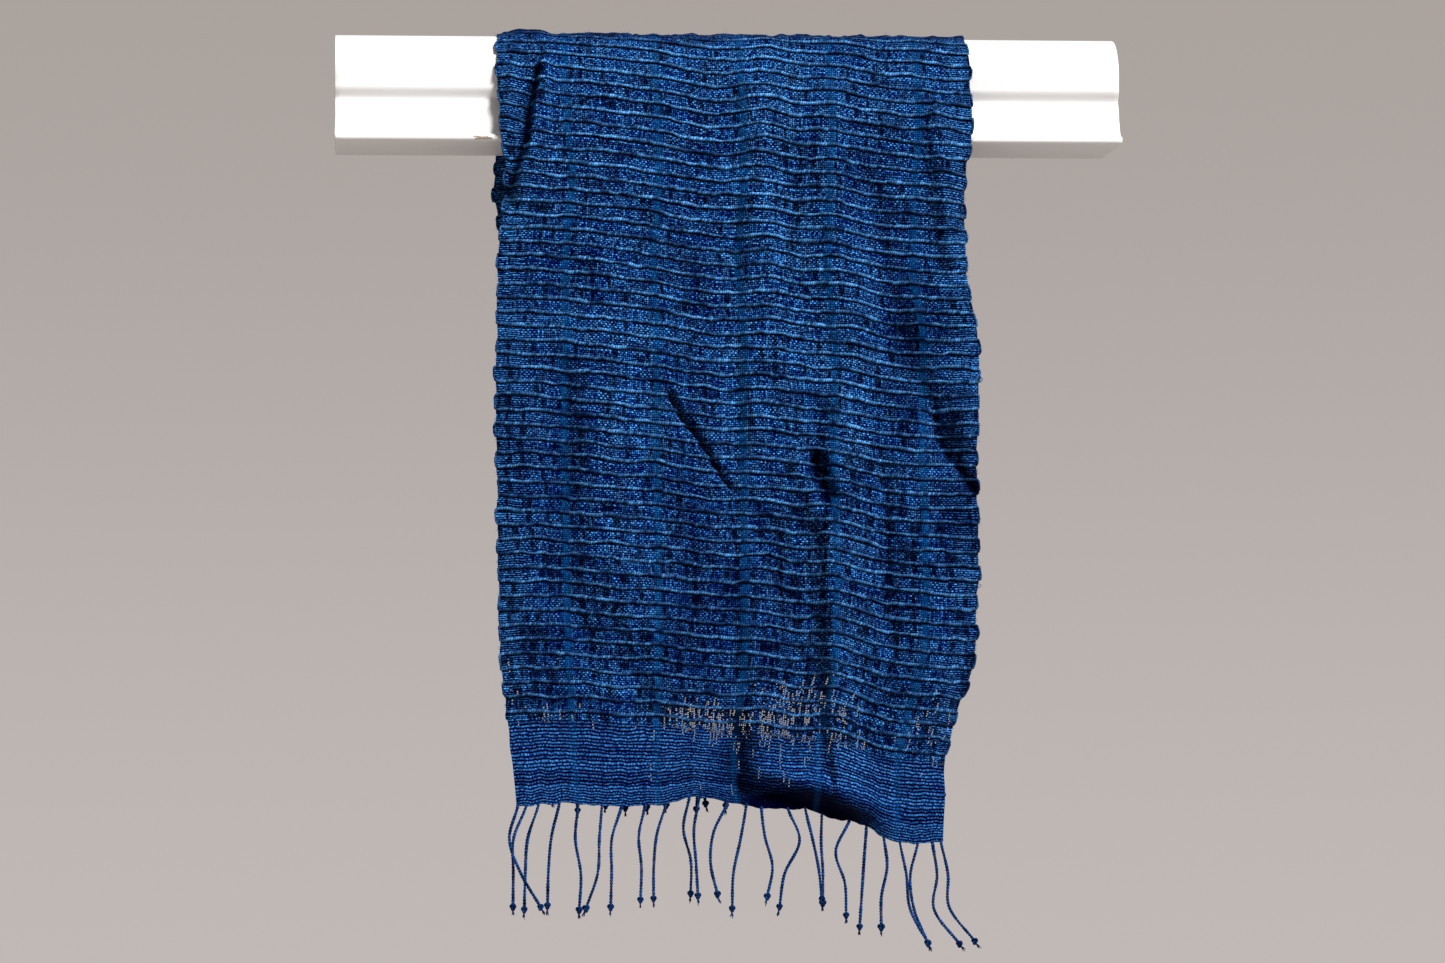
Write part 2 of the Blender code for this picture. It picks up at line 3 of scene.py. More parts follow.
import bpy
import numpy as np
from mathutils import Euler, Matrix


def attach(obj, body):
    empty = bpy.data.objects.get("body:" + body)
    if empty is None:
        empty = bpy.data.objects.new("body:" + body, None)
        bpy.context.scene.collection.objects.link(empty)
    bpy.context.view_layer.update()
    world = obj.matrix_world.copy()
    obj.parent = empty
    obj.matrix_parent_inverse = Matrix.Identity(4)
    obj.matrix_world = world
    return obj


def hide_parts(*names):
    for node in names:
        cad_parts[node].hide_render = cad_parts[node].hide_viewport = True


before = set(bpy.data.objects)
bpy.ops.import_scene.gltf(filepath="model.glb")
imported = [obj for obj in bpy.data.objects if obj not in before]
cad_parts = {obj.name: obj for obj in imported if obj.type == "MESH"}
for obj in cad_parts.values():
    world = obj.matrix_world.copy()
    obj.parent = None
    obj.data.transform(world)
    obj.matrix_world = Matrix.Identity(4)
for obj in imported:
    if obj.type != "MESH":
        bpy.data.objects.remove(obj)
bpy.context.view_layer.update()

sceneNow = bpy.context.scene
print("frame loaded:", ", ".join(sorted(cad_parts)))

# camera: a long lens at the height of the scarf's lower half, looking slightly up and to the right
cameraSet = {
    "lens": 96.3,  # millimetres on a 36 mm sensor
    "place": (-0.260, -2.746, -0.386),
    "tiltUp": 3.06,  # degrees
    "turnRight": 5.30,
    "roll": -0.45,
}


def makeCamera(values):
    data = bpy.data.cameras.new("camera")
    data.lens = values["lens"]
    data.sensor_width = 36.0
    camera = bpy.data.objects.new("camera", data)
    camera.location = values["place"]
    heading = Euler((math.radians(90.0 + values["tiltUp"]), 0.0, math.radians(-values["turnRight"])))
    roll = Euler((0.0, 0.0, math.radians(values["roll"])))
    camera.rotation_euler = (heading.to_matrix() @ roll.to_matrix()).to_euler()
    sceneNow.collection.objects.link(camera)
    sceneNow.camera = camera


makeCamera(cameraSet)


class Wire:
    # a shader socket's value, written in sums as if it were a number: each sign lays one Math node
    def __init__(self, socket):
        self.socket = socket
        self.tree = socket.id_data

    def held(self):
        # kept between 0 and 1
        self.socket.node.use_clamp = True
        return self


def mathStep(operation, turned=False):
    # a method that lays one Math node; turned, the wire is its second value
    def step(self, other=0.0):
        first, second = (other, self) if turned else (self, other)
        return addNode(self.tree, "Math", {0: first, 1: second}, operation=operation)
    return step


for sign, operation in (
        ("__add__", "ADD"), ("__sub__", "SUBTRACT"), ("__mul__", "MULTIPLY"), ("__truediv__", "DIVIDE"),
        ("__mod__", "MODULO"), ("__pow__", "POWER"), ("__abs__", "ABSOLUTE"), ("__gt__", "GREATER_THAN"),
        ("__lt__", "LESS_THAN"), ("floor", "FLOOR"), ("sine", "SINE"), ("larger", "MAXIMUM"),
        ("smaller", "MINIMUM")):
    setattr(Wire, sign, mathStep(operation))
Wire.__rsub__ = mathStep("SUBTRACT", turned=True)


def feed(socket, value):
    # a wire is joined to a socket; a colour or a number is typed in
    if isinstance(value, Wire):
        socket.id_data.links.new(value.socket, socket)
    else:
        socket.default_value = (*value, 1.0) if isinstance(value, tuple) else value


def addNode(tree, kind, inputs=None, output=0, **settings):
    # one node, its inputs given by name or place; what comes back is one of its outputs
    node = tree.nodes.new("ShaderNode" + kind)
    for name, value in settings.items():
        setattr(node, name, value)
    for key, value in (inputs or {}).items():
        feed(node.inputs[key], value)
    return Wire(node.outputs[output])


def blendColour(share, low, high):
    return addNode(share.tree, "Mix", {0: share, 6: low, 7: high}, 2, data_type="RGBA")


def vectorParts(vector):
    parts = addNode(vector.tree, "SeparateXYZ", {0: vector})
    return [Wire(part) for part in parts.socket.node.outputs]


def joinVector(x, y, z):
    return addNode(x.tree, "CombineXYZ", {"X": x, "Y": y, "Z": z})


def noise(scale, x, y, z=0.0, detail=2.0, roughness=0.5):
    return addNode(x.tree, "TexNoise", {"Vector": joinVector(x, y, z), "Scale": scale, "Detail": detail,
                                        "Roughness": roughness}, "Fac")


def whiteNoise(x, y, z=0.0):
    return addNode(x.tree, "TexWhiteNoise", {"Vector": joinVector(x, y, z)}, "Value")


def softRange(value, low, high, atLow=0.0, atHigh=1.0):
    # from atLow to atHigh, starting and ending softly, as the value runs from low to high
    return addNode(value.tree, "MapRange", {
        "Value": value, "From Min": low, "From Max": high, "To Min": atLow, "To Max": atHigh,
    }, "Result", interpolation_type="SMOOTHSTEP")


def attribute(tree, name, output="Fac"):
    return addNode(tree, "Attribute", None, output, attribute_name=name)


def bumpNormal(height, strength, distance):
    values = {"Strength": strength, "Distance": distance, "Height": height}
    return addNode(height.tree, "Bump", values, "Normal")


def newMaterial(name, roughness, sheen=0.0, tint=(1.0, 1.0, 1.0), specular=0.5):
    material = bpy.data.materials.new(name)
    material.use_nodes = True
    shader = material.node_tree.nodes["Principled BSDF"].inputs
    for label, value in (("Roughness", roughness), ("Sheen Weight", sheen), ("Sheen Tint", tint),
                         ("Sheen Roughness", 0.4), ("Specular IOR Level", specular), ("Specular Tint", tint)):
        feed(shader[label], value)
    return material, material.node_tree, shader


def newGroup(name, inputs, outputs):
    # a node group, its inputs as wires, and the sockets that its results are fed to
    group = bpy.data.node_groups.new(name, "ShaderNodeTree")
    for label, value in inputs.items():
        socket = group.interface.new_socket(name=label, in_out="INPUT", socket_type="NodeSocketFloat")
        socket.default_value = value
    for label in outputs:
        group.interface.new_socket(name=label, in_out="OUTPUT", socket_type="NodeSocketFloat")
    start = group.nodes.new("NodeGroupInput")
    end = group.nodes.new("NodeGroupOutput")
    return group, [Wire(start.outputs[label]) for label in inputs], end.inputs


def placeGroup(tree, group, values):
    # a group placed in a material, and all its outputs by name
    placed = addNode(tree, "Group", values, node_tree=group)
    return {socket.name: Wire(socket) for socket in placed.socket.node.outputs}


# the studio: a pale floor that melts into an even pale surround, and two soft lights from afar
studio = {
    "floorHeight": -0.80,
    "floorRadius": 2.9,
    "floorSolid": 0.9,  # inside this radius the floor is whole
    "floorCorners": 64,
    "floorColour": (0.47, 0.43, 0.41),
    "surroundLow": (0.530, 0.488, 0.472),
    "surroundHigh": (0.405, 0.362, 0.340),
    "skyLight": (0.20, 0.185, 0.175),  # what lights the object from above and from below
    "groundLight": (0.20, 0.17, 0.145),
    "keyStrength": 5.6,
    "keyAngle": 20.0,  # how wide the light looks, in degrees
    "keyFrom": (0.52, -0.74, 0.76),
    "fillStrength": 0.15,
    "fillAngle": 50.0,
    "fillFrom": (-0.7, -1.0, 0.25),
}


def makeSurround(values):
    # what the camera sees is an even pale tone; what lights the object is stronger from above
    world = bpy.data.worlds.new("surround")
    world.use_nodes = True
    tree = world.node_tree
    height = vectorParts(addNode(tree, "TexCoord", None, "Generated"))[2]
    shown = tree.nodes["Background"]
    feed(shown.inputs["Color"], blendColour(softRange(height, -0.10, 0.20), values["surroundLow"],
                                            values["surroundHigh"]))
    lighting = addNode(tree, "Background", {
        "Color": blendColour(softRange(height, -0.5, 0.8), values["groundLight"], values["skyLight"])})
    isSeen = addNode(tree, "LightPath", None, "Is Camera Ray")
    either = addNode(tree, "MixShader", {0: isSeen, 1: lighting, 2: Wire(shown.outputs[0])})
    feed(tree.nodes["World Output"].inputs["Surface"], either)
    sceneNow.world = world


def makeFloor(values):
    # a disc that is whole near its middle, fades out to its rim and isn't seen from below
    corners = values["floorCorners"]
    turn = np.arange(corners) * 2.0 * math.pi / corners
    points = np.column_stack([np.cos(turn) * values["floorRadius"], np.sin(turn) * values["floorRadius"],
                              np.full(corners, values["floorHeight"])])
    mesh = bpy.data.meshes.new("floor")
    mesh.from_pydata(points.tolist(), [], [tuple(range(corners))])
    material, tree, shader = newMaterial("paleFloor", 0.9)
    feed(shader["Base Color"], values["floorColour"])
    x, y = vectorParts(addNode(tree, "TexCoord", None, "Object"))[:2]
    whole = softRange((x * x + y * y) ** 0.5, values["floorSolid"], values["floorRadius"], 1.0, 0.0)
    feed(shader["Alpha"], whole * (1.0 - addNode(tree, "NewGeometry", None, "Backfacing")))
    mesh.materials.append(material)
    floor = bpy.data.objects.new("floor", mesh)
    sceneNow.collection.objects.link(floor)


def makeLights(values):
    # a lamp shines along its own -Z, so its +Z is turned towards the place that the light comes from
    for name in ("key", "fill"):
        light = bpy.data.lights.new(name, "SUN")
        light.energy = values[name + "Strength"]
        light.angle = math.radians(values[name + "Angle"])
        lamp = bpy.data.objects.new(name, light)
        across, back, up = np.array(values[name + "From"]) / np.linalg.norm(values[name + "From"])
        lamp.rotation_euler = (0.0, math.acos(up), math.atan2(back, across))
        sceneNow.collection.objects.link(lamp)


sceneNow.view_settings.view_transform = "Standard"
makeSurround(studio)
makeFloor(studio)
makeLights(studio)
print("camera and studio made")

# the cloth's own sizes, in metres: across is +X, down is below the rail's underside
cloth = {
    "cordPitch": 0.0099,
    "lift": 0.0009,  # of the ground over the cloth's inner face
    "selvedgeInset": 0.0010,
    "frontCords": 51,
    "backCords": 42,
    "turnCords": 10,
    "railClearance": 0.0009,
    "bend": 0.006,
    "backSagLeft": 0.75,
    "askew": 0.0131,  # slope at which the front hangs off the square
    "askewCentre": 0.240,  # depth at which it is not moved
    "coveSink": 0.55,
    "sinkStart": 0.004,
    "sinkFull": 0.034,
    "flareShare": 0.022,  # share of the width over which a selvedge loop dies out
    "saddleStep": 0.0005,
    "longestDrop": 0.70,
}

# the rail's section that the cloth bears on
railShape = {
    "length": 0.560,
    "height": 0.080,
    "baseHalfWidth": 0.040,
    "lipRadius": 0.0025,
    "coveDepth": 0.0085,
    "coveTop": 0.031,
    "capHalfWidth": 0.032,
    "capSpring": 0.040,
    "capSquareness": 2.3,
    "edgeRound": 0.0008,
}

# edges, as rows of (down, left, right)
frontOutline = np.array([
    (-0.080, -0.1700, 0.1660), (-0.045, -0.1698, 0.1690), (0.000, -0.1668, 0.1685),
    (0.018, -0.1640, 0.1655), (0.047, -0.1655, 0.1642), (0.079, -0.1680, 0.1640),
    (0.100, -0.1695, 0.1650), (0.137, -0.1695, 0.1730), (0.170, -0.1700, 0.1740),
    (0.211, -0.1695, 0.1720), (0.252, -0.1680, 0.1730), (0.302, -0.1675, 0.1740),
    (0.338, -0.1663, 0.1740), (0.372, -0.1645, 0.1700), (0.404, -0.1605, 0.1590),
    (0.441, -0.1560, 0.1510), (0.469, -0.1530, 0.1500), (0.494, -0.1510, 0.1490),
])
backOutline = np.array([
    (-0.080, -0.1700, 0.1660), (0.000, -0.1690, 0.1655), (0.030, -0.1708, 0.1650),
    (0.052, -0.1670, 0.1650), (0.100, -0.1625, 0.1650), (0.180, -0.1620, 0.1670), (0.250, -0.1610, 0.1670),
    (0.330, -0.1600, 0.1630), (0.400, -0.1540, 0.1560),
])

# hems, as rows of (across, down)
frontHem = np.array([
    (-0.153, 0.4690), (-0.120, 0.4670), (-0.085, 0.4690), (-0.048, 0.4670), (-0.025, 0.4625),
    (0.000, 0.4670), (0.030, 0.4710), (0.054, 0.4710), (0.077, 0.4780), (0.095, 0.4810),
    (0.112, 0.4900), (0.130, 0.4945), (0.149, 0.4930),
])
backHem = np.array([
    (-0.154, 0.3980), (-0.110, 0.3935), (-0.060, 0.3940), (-0.010, 0.3860),
    (0.045, 0.3800), (0.100, 0.3725), (0.156, 0.3690),
])

# how far a cord sags, as rows of (across, at the rail, at mid-height, at the last cord)
sagTable = np.array([
    (-0.165, -0.0055, -0.0050, -0.0010), (-0.122, -0.0035, -0.0040, -0.0028),
    (-0.082, 0.0000, 0.0000, 0.0000), (-0.058, 0.0030, 0.0015, 0.0007),
    (-0.018, 0.0100, 0.0075, 0.0042), (0.026, 0.0088, 0.0078, 0.0060),
    (0.046, 0.0125, 0.0105, 0.0097), (0.070, 0.0135, 0.0120, 0.0098),
    (0.108, 0.0195, 0.0185, 0.0215), (0.130, 0.0212, 0.0205, 0.0240),
    (0.150, 0.0228, 0.0210, 0.0262), (0.168, 0.0235, 0.0202, 0.0282),
])
sagReaches = (0.300, 0.495)

# folds, each along a bent line of three (across, down) places, with its width, its height (+ stands out)
# and, where they differ, its left side's share of the width (1) and its power (2 is round, 1 is sharp)
frontFolds = {
    "left selvedge ridge": ((-0.160, -0.050), (-0.163, -0.006), (-0.170, 0.032), 0.0050, 0.0035),
    "left pleat ridge": ((-0.1385, -0.052), (-0.1460, 0.000), (-0.1545, 0.034), 0.0085, 0.0100, 0.30),
    "left pleat valley": ((-0.144, -0.048), (-0.1515, -0.006), (-0.162, 0.040), 0.0036, -0.0090),
    "crown lump": ((-0.153, -0.080), (-0.146, -0.081), (-0.139, -0.080), 0.007, 0.0026),
    "upper ridge": ((0.010, -0.037), (0.015, 0.015), (0.022, 0.064), 0.012, 0.0045),
    "upper valley": ((0.032, 0.010), (0.033, 0.040), (0.032, 0.075), 0.009, -0.0045),
    "long ridge": ((0.063, -0.034), (0.070, 0.064), (0.081, 0.138), 0.015, 0.0060),
    "long valley": ((0.088, 0.001), (0.112, 0.127), (0.150, 0.215), 0.011, -0.0065),
    "long valley end": ((0.143, 0.192), (0.155, 0.222), (0.172, 0.250), 0.0050, -0.0045),
    "right ridge": ((0.140, -0.020), (0.147, 0.030), (0.151, 0.075), 0.011, 0.0070, 0.6),
    "right edge turned back": ((0.168, 0.010), (0.166, 0.030), (0.165, 0.055), 0.0060, -0.0100),
    "right hand swell": ((0.158, 0.110), (0.162, 0.160), (0.166, 0.200), 0.014, 0.0050),
    "middle valley": ((0.000, 0.057), (0.000, 0.250), (0.005, 0.449), 0.008, -0.0050, 1.0, 1.4),
    "slanting crease": ((-0.047, 0.180), (-0.026, 0.211), (-0.004, 0.243), 0.0024, -0.0090),
    "slanting lip": ((-0.043, 0.178), (-0.022, 0.209), (-0.001, 0.240), 0.0060, 0.0030, 0.5),
    "left valley": ((-0.121, 0.169), (-0.119, 0.295), (-0.101, 0.362), 0.011, -0.0060),
    "left swell": ((-0.152, 0.183), (-0.146, 0.253), (-0.149, 0.337), 0.015, 0.0045),
    "left middle swell": ((-0.095, 0.090), (-0.090, 0.240), (-0.080, 0.330), 0.022, 0.0035),
    "pocket": ((0.057, 0.226), (0.062, 0.238), (0.068, 0.251), 0.0052, -0.0110),
    "pocket neck": ((0.063, 0.190), (0.062, 0.210), (0.060, 0.226), 0.0055, -0.0050),
    "pocket rim": ((0.042, 0.226), (0.060, 0.266), (0.082, 0.250), 0.006, 0.0055),
    "hollow": ((0.026, 0.285), (0.036, 0.330), (0.046, 0.385), 0.018, -0.0080),
    "lower ridge": ((0.0645, 0.262), (0.0665, 0.351), (0.0705, 0.442), 0.016, 0.0085, 0.26, 1.5),
    "right valley": ((0.105, 0.232), (0.107, 0.288), (0.111, 0.351), 0.007, -0.0065),
    "right lower swell": ((0.135, 0.290), (0.140, 0.340), (0.132, 0.385), 0.015, 0.0045),
    "lower left valley": ((-0.089, 0.337), (-0.077, 0.365), (-0.063, 0.404), 0.008, -0.0040),
    "curved lower valley": ((0.091, 0.425), (0.095, 0.404), (0.116, 0.390), 0.005, -0.0045),
    "right edge curled back": ((0.174, 0.320), (0.162, 0.390), (0.152, 0.445), 0.008, -0.0080),
    "hem valley": ((-0.006, 0.410), (0.002, 0.430), (0.004, 0.450), 0.011, -0.0095),
    "hem roll": ((0.012, 0.442), (0.058, 0.453), (0.108, 0.480), 0.009, 0.0070),
    "hem shadow": ((0.006, 0.458), (0.046, 0.470), (0.092, 0.480), 0.007, -0.0085),
}
backFolds = {
    "left ridge": ((-0.130, -0.040), (-0.135, 0.090), (-0.128, 0.230), 0.013, 0.0070),
    "left valley": ((-0.105, 0.030), (-0.100, 0.180), (-0.112, 0.340), 0.011, -0.0075),
    "inner ridge": ((-0.070, -0.030), (-0.060, 0.140), (-0.072, 0.310), 0.014, 0.0060),
    "middle valley": ((-0.025, 0.060), (-0.015, 0.220), (-0.030, 0.370), 0.012, -0.0070),
    "middle ridge": ((0.020, 0.020), (0.030, 0.190), (0.018, 0.350), 0.013, 0.0070),
    "right valley": ((0.065, 0.020), (0.078, 0.170), (0.070, 0.330), 0.011, -0.0080),
    "right ridge": ((0.110, -0.030), (0.118, 0.120), (0.105, 0.300), 0.013, 0.0065),
    "crown lump": ((-0.153, -0.080), (-0.146, -0.081), (-0.139, -0.080), 0.007, 0.0026),
    "edge turned back": ((0.166, 0.020), (0.167, 0.150), (0.160, 0.300), 0.010, -0.0060),
    "left hem roll": ((-0.130, 0.375), (-0.085, 0.368), (-0.045, 0.378), 0.010, 0.0060),
    "right hem roll": ((0.050, 0.352), (0.090, 0.345), (0.130, 0.350), 0.010, 0.0060),
}

# soft unevenness, in metres: how much, over what width, over what height, and the seed
wavers = {
    "fold lines across": (0.0012, 0.007, 0.0099, 21.0),
    "fold lines down": (0.0020, 0.011, 0.013, 22.0),
    "left selvedge": (0.0009, 0.013, 1.0, 31.0),
    "right selvedge": (0.0009, 0.014, 1.0, 33.0),
    "cord lines, broad": (0.0008, 0.021, 0.030, 8.0),
    "cord lines, small": (0.0004, 0.008, 0.012, 9.0),
    "hem": (0.0008, 0.0045, 1.0, 35.0),
    "cloth, broad": (0.0011, 0.022, 0.034, 0.0),
    "cloth, small": (0.0006, 0.009, 0.015, 0.3),
    "crown": (0.0013, 0.0058, 0.008, 41.0),
    "crease": (0.0014, 0.004, 0.0045, 61.0),
}


def mix(low, high, share):
    return low + (high - low) * share


def ease(share):
    # 0 to 1, starting and ending softly
    held = np.clip(share, 0.0, 1.0)
    return held * held * (3.0 - 2.0 * held)


def unit(vectors):
    return vectors / np.linalg.norm(vectors, axis=-1, keepdims=True)


def pathLengths(path):
    # metres along a path at each of its points
    return np.concatenate([[0.0], np.cumsum(np.linalg.norm(np.diff(path, axis=0), axis=1))])


def latticeHash(column, row, seed):
    # the fraction left by a large sine: a repeatable value from -1 to 1 for each lattice point
    wave = np.sin(column * 127.1 + row * 311.7 + seed * 74.7) * 43758.5453
    return 2.0 * (wave - np.floor(wave)) - 1.0


def latticeNoise(x, y, seed):
    # lattice values blended softly along x and y
    column, row = np.floor(x), np.floor(y)
    shareX, shareY = ease(x - column), ease(y - row)
    near = mix(latticeHash(column, row, seed), latticeHash(column + 1, row, seed), shareX)
    far = mix(latticeHash(column, row + 1, seed), latticeHash(column + 1, row + 1, seed), shareX)
    return mix(near, far, shareY)


def waver(name, x, y, moreSeed=0.0):
    amount, wide, tall, seed = wavers[name]
    return amount * latticeNoise(x / wide, y / tall, seed + moreSeed)


def yarnWaver(rows, share, cord, seed):
    # the sum of noises, each a row of how much, waves across, waves a cord and what is added to the seed
    return sum(amount * latticeNoise(share * across, cord * along, seed + more)
               for amount, across, along, more in rows)


def capPoint(angle, spread=0.0):
    # a superellipse quarter: half-width at its foot, the crown at its top
    power = 2.0 / railShape["capSquareness"]
    side = (railShape["capHalfWidth"] + spread) * np.abs(np.cos(angle)) ** power
    rise = railShape["height"] - railShape["capSpring"] + spread
    return side, railShape["capSpring"] + rise * np.abs(np.sin(angle)) ** power


def saddleLine():
    # taut cloth from the crown round the cap, straight to the lip and then down, as even steps of
    # (distance along, side, height, heading below the horizontal)
    lip = np.array((railShape["baseHalfWidth"] + cloth["railClearance"], railShape["lipRadius"]))
    side, height = capPoint(np.radians(90.0 - 1.5 * np.arange(61)), cloth["railClearance"])
    leaves = int(np.argmax(np.arctan2(side - lip[0], height - lip[1])))
    points = np.vstack([np.column_stack([side, height])[:leaves + 1], lip, lip - (0.0, 1.0)])
    reach = pathLengths(points)
    even = np.arange(0.0, cloth["longestDrop"], cloth["saddleStep"])
    sides = np.interp(even, reach, points[:, 0])
    heights = np.interp(even, reach, points[:, 1])
    window = int(cloth["bend"] / cloth["saddleStep"])
    turns = np.arctan2(-np.gradient(heights), np.gradient(sides))
    mirrored = np.concatenate([-turns[window:0:-1], turns, np.full(window, turns[-1])])
    smooth = np.convolve(mirrored, np.ones(2 * window + 1) / (2 * window + 1), mode="valid")
    return even, sides, heights, smooth, reach[-2]


saddleSteps, saddleSides, saddleHeights, saddleTurns, lipReach = saddleLine()


def saddle(reach):
    # the place and outward direction at a distance in front of (+) or behind (-) the crown
    length = np.abs(reach)
    turn = np.where(reach >= 0.0, -1.0, 1.0)
    side = np.interp(length, saddleSteps, saddleSides) * turn
    height = np.interp(length, saddleSteps, saddleHeights)
    heading = np.interp(length, saddleSteps, saddleTurns)
    return side, height, np.sin(heading) * turn, np.cos(heading)


def smoothTable(places, table, column):
    # a column of a table read between its rows on a curve with no corners
    keys, values = table[:, 0], table[:, column]
    slopes = np.gradient(values, keys)
    at = np.clip(places, keys[0], keys[-1])
    row = np.clip(np.searchsorted(keys, at, side="right") - 1, 0, len(keys) - 2)
    span = keys[row + 1] - keys[row]
    t = (at - keys[row]) / span
    start, end = values[row], values[row + 1]
    rise = (1 + 2 * t) * (1 - t) ** 2 * start + t * t * (3 - 2 * t) * end
    return rise + span * (t * (1 - t) ** 2 * slopes[row] - t * t * (1 - t) * slopes[row + 1])


def eitherSide(isFront, places, frontTable, backTable, column):
    return np.where(isFront, smoothTable(places, frontTable, column), smoothTable(places, backTable, column))


def cordSag(across, distance):
    # how far a cord hangs below its own distance: the three columns of the table, blended down the front
    high, middle, low = (smoothTable(across, sagTable, column) for column in (1, 2, 3))
    held = mix(1.0, cloth["backSagLeft"], np.clip(-distance / sagReaches[1], 0.0, 1.0))
    upper = mix(high, middle, np.clip((distance - lipReach) / (sagReaches[0] - lipReach), 0.0, 1.0))
    lower = mix(upper, low, np.clip((distance - sagReaches[0]) / (sagReaches[1] - sagReaches[0]), 0.0, 1.0))
    return np.where(distance <= 0.0, high * held, lower)


def foldRelief(folds, across, down):
    # each fold is a bell-shaped ridge or trough round a line of two straight stretches, drawn a little ragged
    across, down = np.broadcast_arrays(across, down)
    x = across + waver("fold lines across", across, down)
    z = down + waver("fold lines down", across, down)
    total = np.zeros(across.shape)
    for start, middle, end, width, height, *shape in folds.values():
        leftShare = shape[0] if shape else 1.0
        power = shape[1] if len(shape) > 1 else 2.0
        nearest = np.full(total.shape, np.inf)
        for first, last in ((start, middle), (middle, end)):
            run = np.subtract(last, first)
            length = np.linalg.norm(run)
            run = run / length
            travel = np.clip((x - first[0]) * run[0] + (z - first[1]) * run[1], 0.0, length)
            gap = np.hypot(x - first[0] - run[0] * travel, z - first[1] - run[1] * travel)
            isLeft = (x - first[0]) * run[1] < (z - first[1]) * run[0]
            nearest = np.minimum(nearest, gap / np.where(isLeft, leftShare, 1.0))
        total += height * np.exp(-(nearest / width) ** power)
    # close under the lip the cloth can't sink, and in front of the cove only in part
    sink = ease((down - cloth["sinkStart"]) / (cloth["sinkFull"] - cloth["sinkStart"]))
    sink += cloth["coveSink"] * ease((down + 0.048) / 0.012) * ease((-0.006 - down) / 0.010)
    return np.where(total < 0.0, total * sink, total)


def loopSize(cord):
    # how far the turn after a cord reaches past the selvedge
    return cords["loop"] * (1.0 + 0.85 * latticeHash(cord, 3.0, cords["loopSeed"]))


def loopFlare(share, distance):
    # the selvedge bulges with the turn that joins two cords: odd with the next at the left, even with the
    # next at the right, as a half ellipse, and the bulge dies out a few threads in
    step = distance / cloth["cordPitch"]
    cord = np.floor(step)
    bulge = np.sqrt(np.clip(1.0 - (2.0 * (step - cord) - 1.0) ** 2, 0.0, 1.0)) * loopSize(cord)
    odd = np.mod(cord, 2.0) > 0.5
    left = np.where(odd, bulge, 0.0) * np.clip(1.0 - share / cloth["flareShare"], 0.0, 1.0) ** 1.5
    right = np.where(odd, 0.0, bulge) * np.clip(1.0 - (1.0 - share) / cloth["flareShare"], 0.0, 1.0) ** 1.5
    return right - left


def askewShift(height):
    return cloth["askew"] * (cloth["askewCentre"] + height)


def clothPlace(share, distance, band, lift, flare=0.0):
    # from a share across, a distance from the crown (front is +), a share down the plain end band, a lift
    # off the inner face and a flare past the selvedge, to a point: the row is moved by its sag, laid on
    # the saddle line between the outline's edges, and pushed out by the folds
    share, distance, band = np.broadcast_arrays(share, distance, band)
    front = distance >= 0.0
    uneven = 1.0 - band

    def edges(down):
        left, right = (eitherSide(front, down, frontOutline, backOutline, column) for column in (1, 2))
        left = left + waver("left selvedge", down, 0.0 * down) * uneven
        right = right + waver("right selvedge", down, 0.0 * down) * uneven
        return left + cloth["selvedgeInset"], right - cloth["selvedgeInset"]

    left, right = edges(-saddle(distance)[1])
    across = mix(left, right, share)
    drift = waver("cord lines, broad", across, distance) + waver("cord lines, small", across, distance)
    reach = distance + cordSag(across, distance) + drift * uneven
    hem = eitherSide(front, across, frontHem, backHem, 1) + waver("hem", across, 0.0 * across)
    hemReach = (lipReach + railShape["lipRadius"] + hem) * np.where(front, 1.0, -1.0)
    reach = mix(reach, hemReach, band)
    side, height, outSide, outHeight = saddle(reach)
    left, right = edges(-height)
    across = mix(left, right, share) + flare
    folds = np.where(front, foldRelief(frontFolds, across, -height), foldRelief(backFolds, across, -height))
    layer = np.where(front, 3.0, 5.0)
    soft = waver("cloth, broad", across, -height, layer) + waver("cloth, small", across, -height, layer)
    soft = soft * mix(0.35, 1.0, ease((-height - 0.01) / 0.05))
    rumple = 0.0006 + waver("crown", across, reach)
    soft += rumple * np.exp(-(reach / 0.012) ** 2)
    out = lift + folds + soft
    across = across + np.where(front, askewShift(height), askewShift(railShape["height"]))
    slip = cloth["askew"] * across * ease(-height / 0.06) * front
    return np.stack([across, side + outSide * out, height + outHeight * out - slip], axis=-1)


print("cloth form ready, lip at", round(float(lipReach), 4))


weaveForm = {
    "sway": 1.5,  # how far a thread strays from its line, in pitches
    "warpSwayScale": 110.0,
    "weftSwayScale": 90.0,
    "holeRun": 5.0,  # picks in a run of holes
    "holeShare": 0.80,  # share of a run's gaps that are open
    "warpHalf": (0.28, 0.14),  # a thread's least half-width in pitches, and how much more it may have
    "weftHalf": (0.33, 0.14),
    "rise": 0.6,  # over and under the other threads
    "faceRise": (0.0, 0.06),  # the same on a weft face: of the warp and of the weft
    "faceWarp": 0.9,  # how much lower the warp and how much higher the weft lies there
    "faceWeft": 0.25,
}


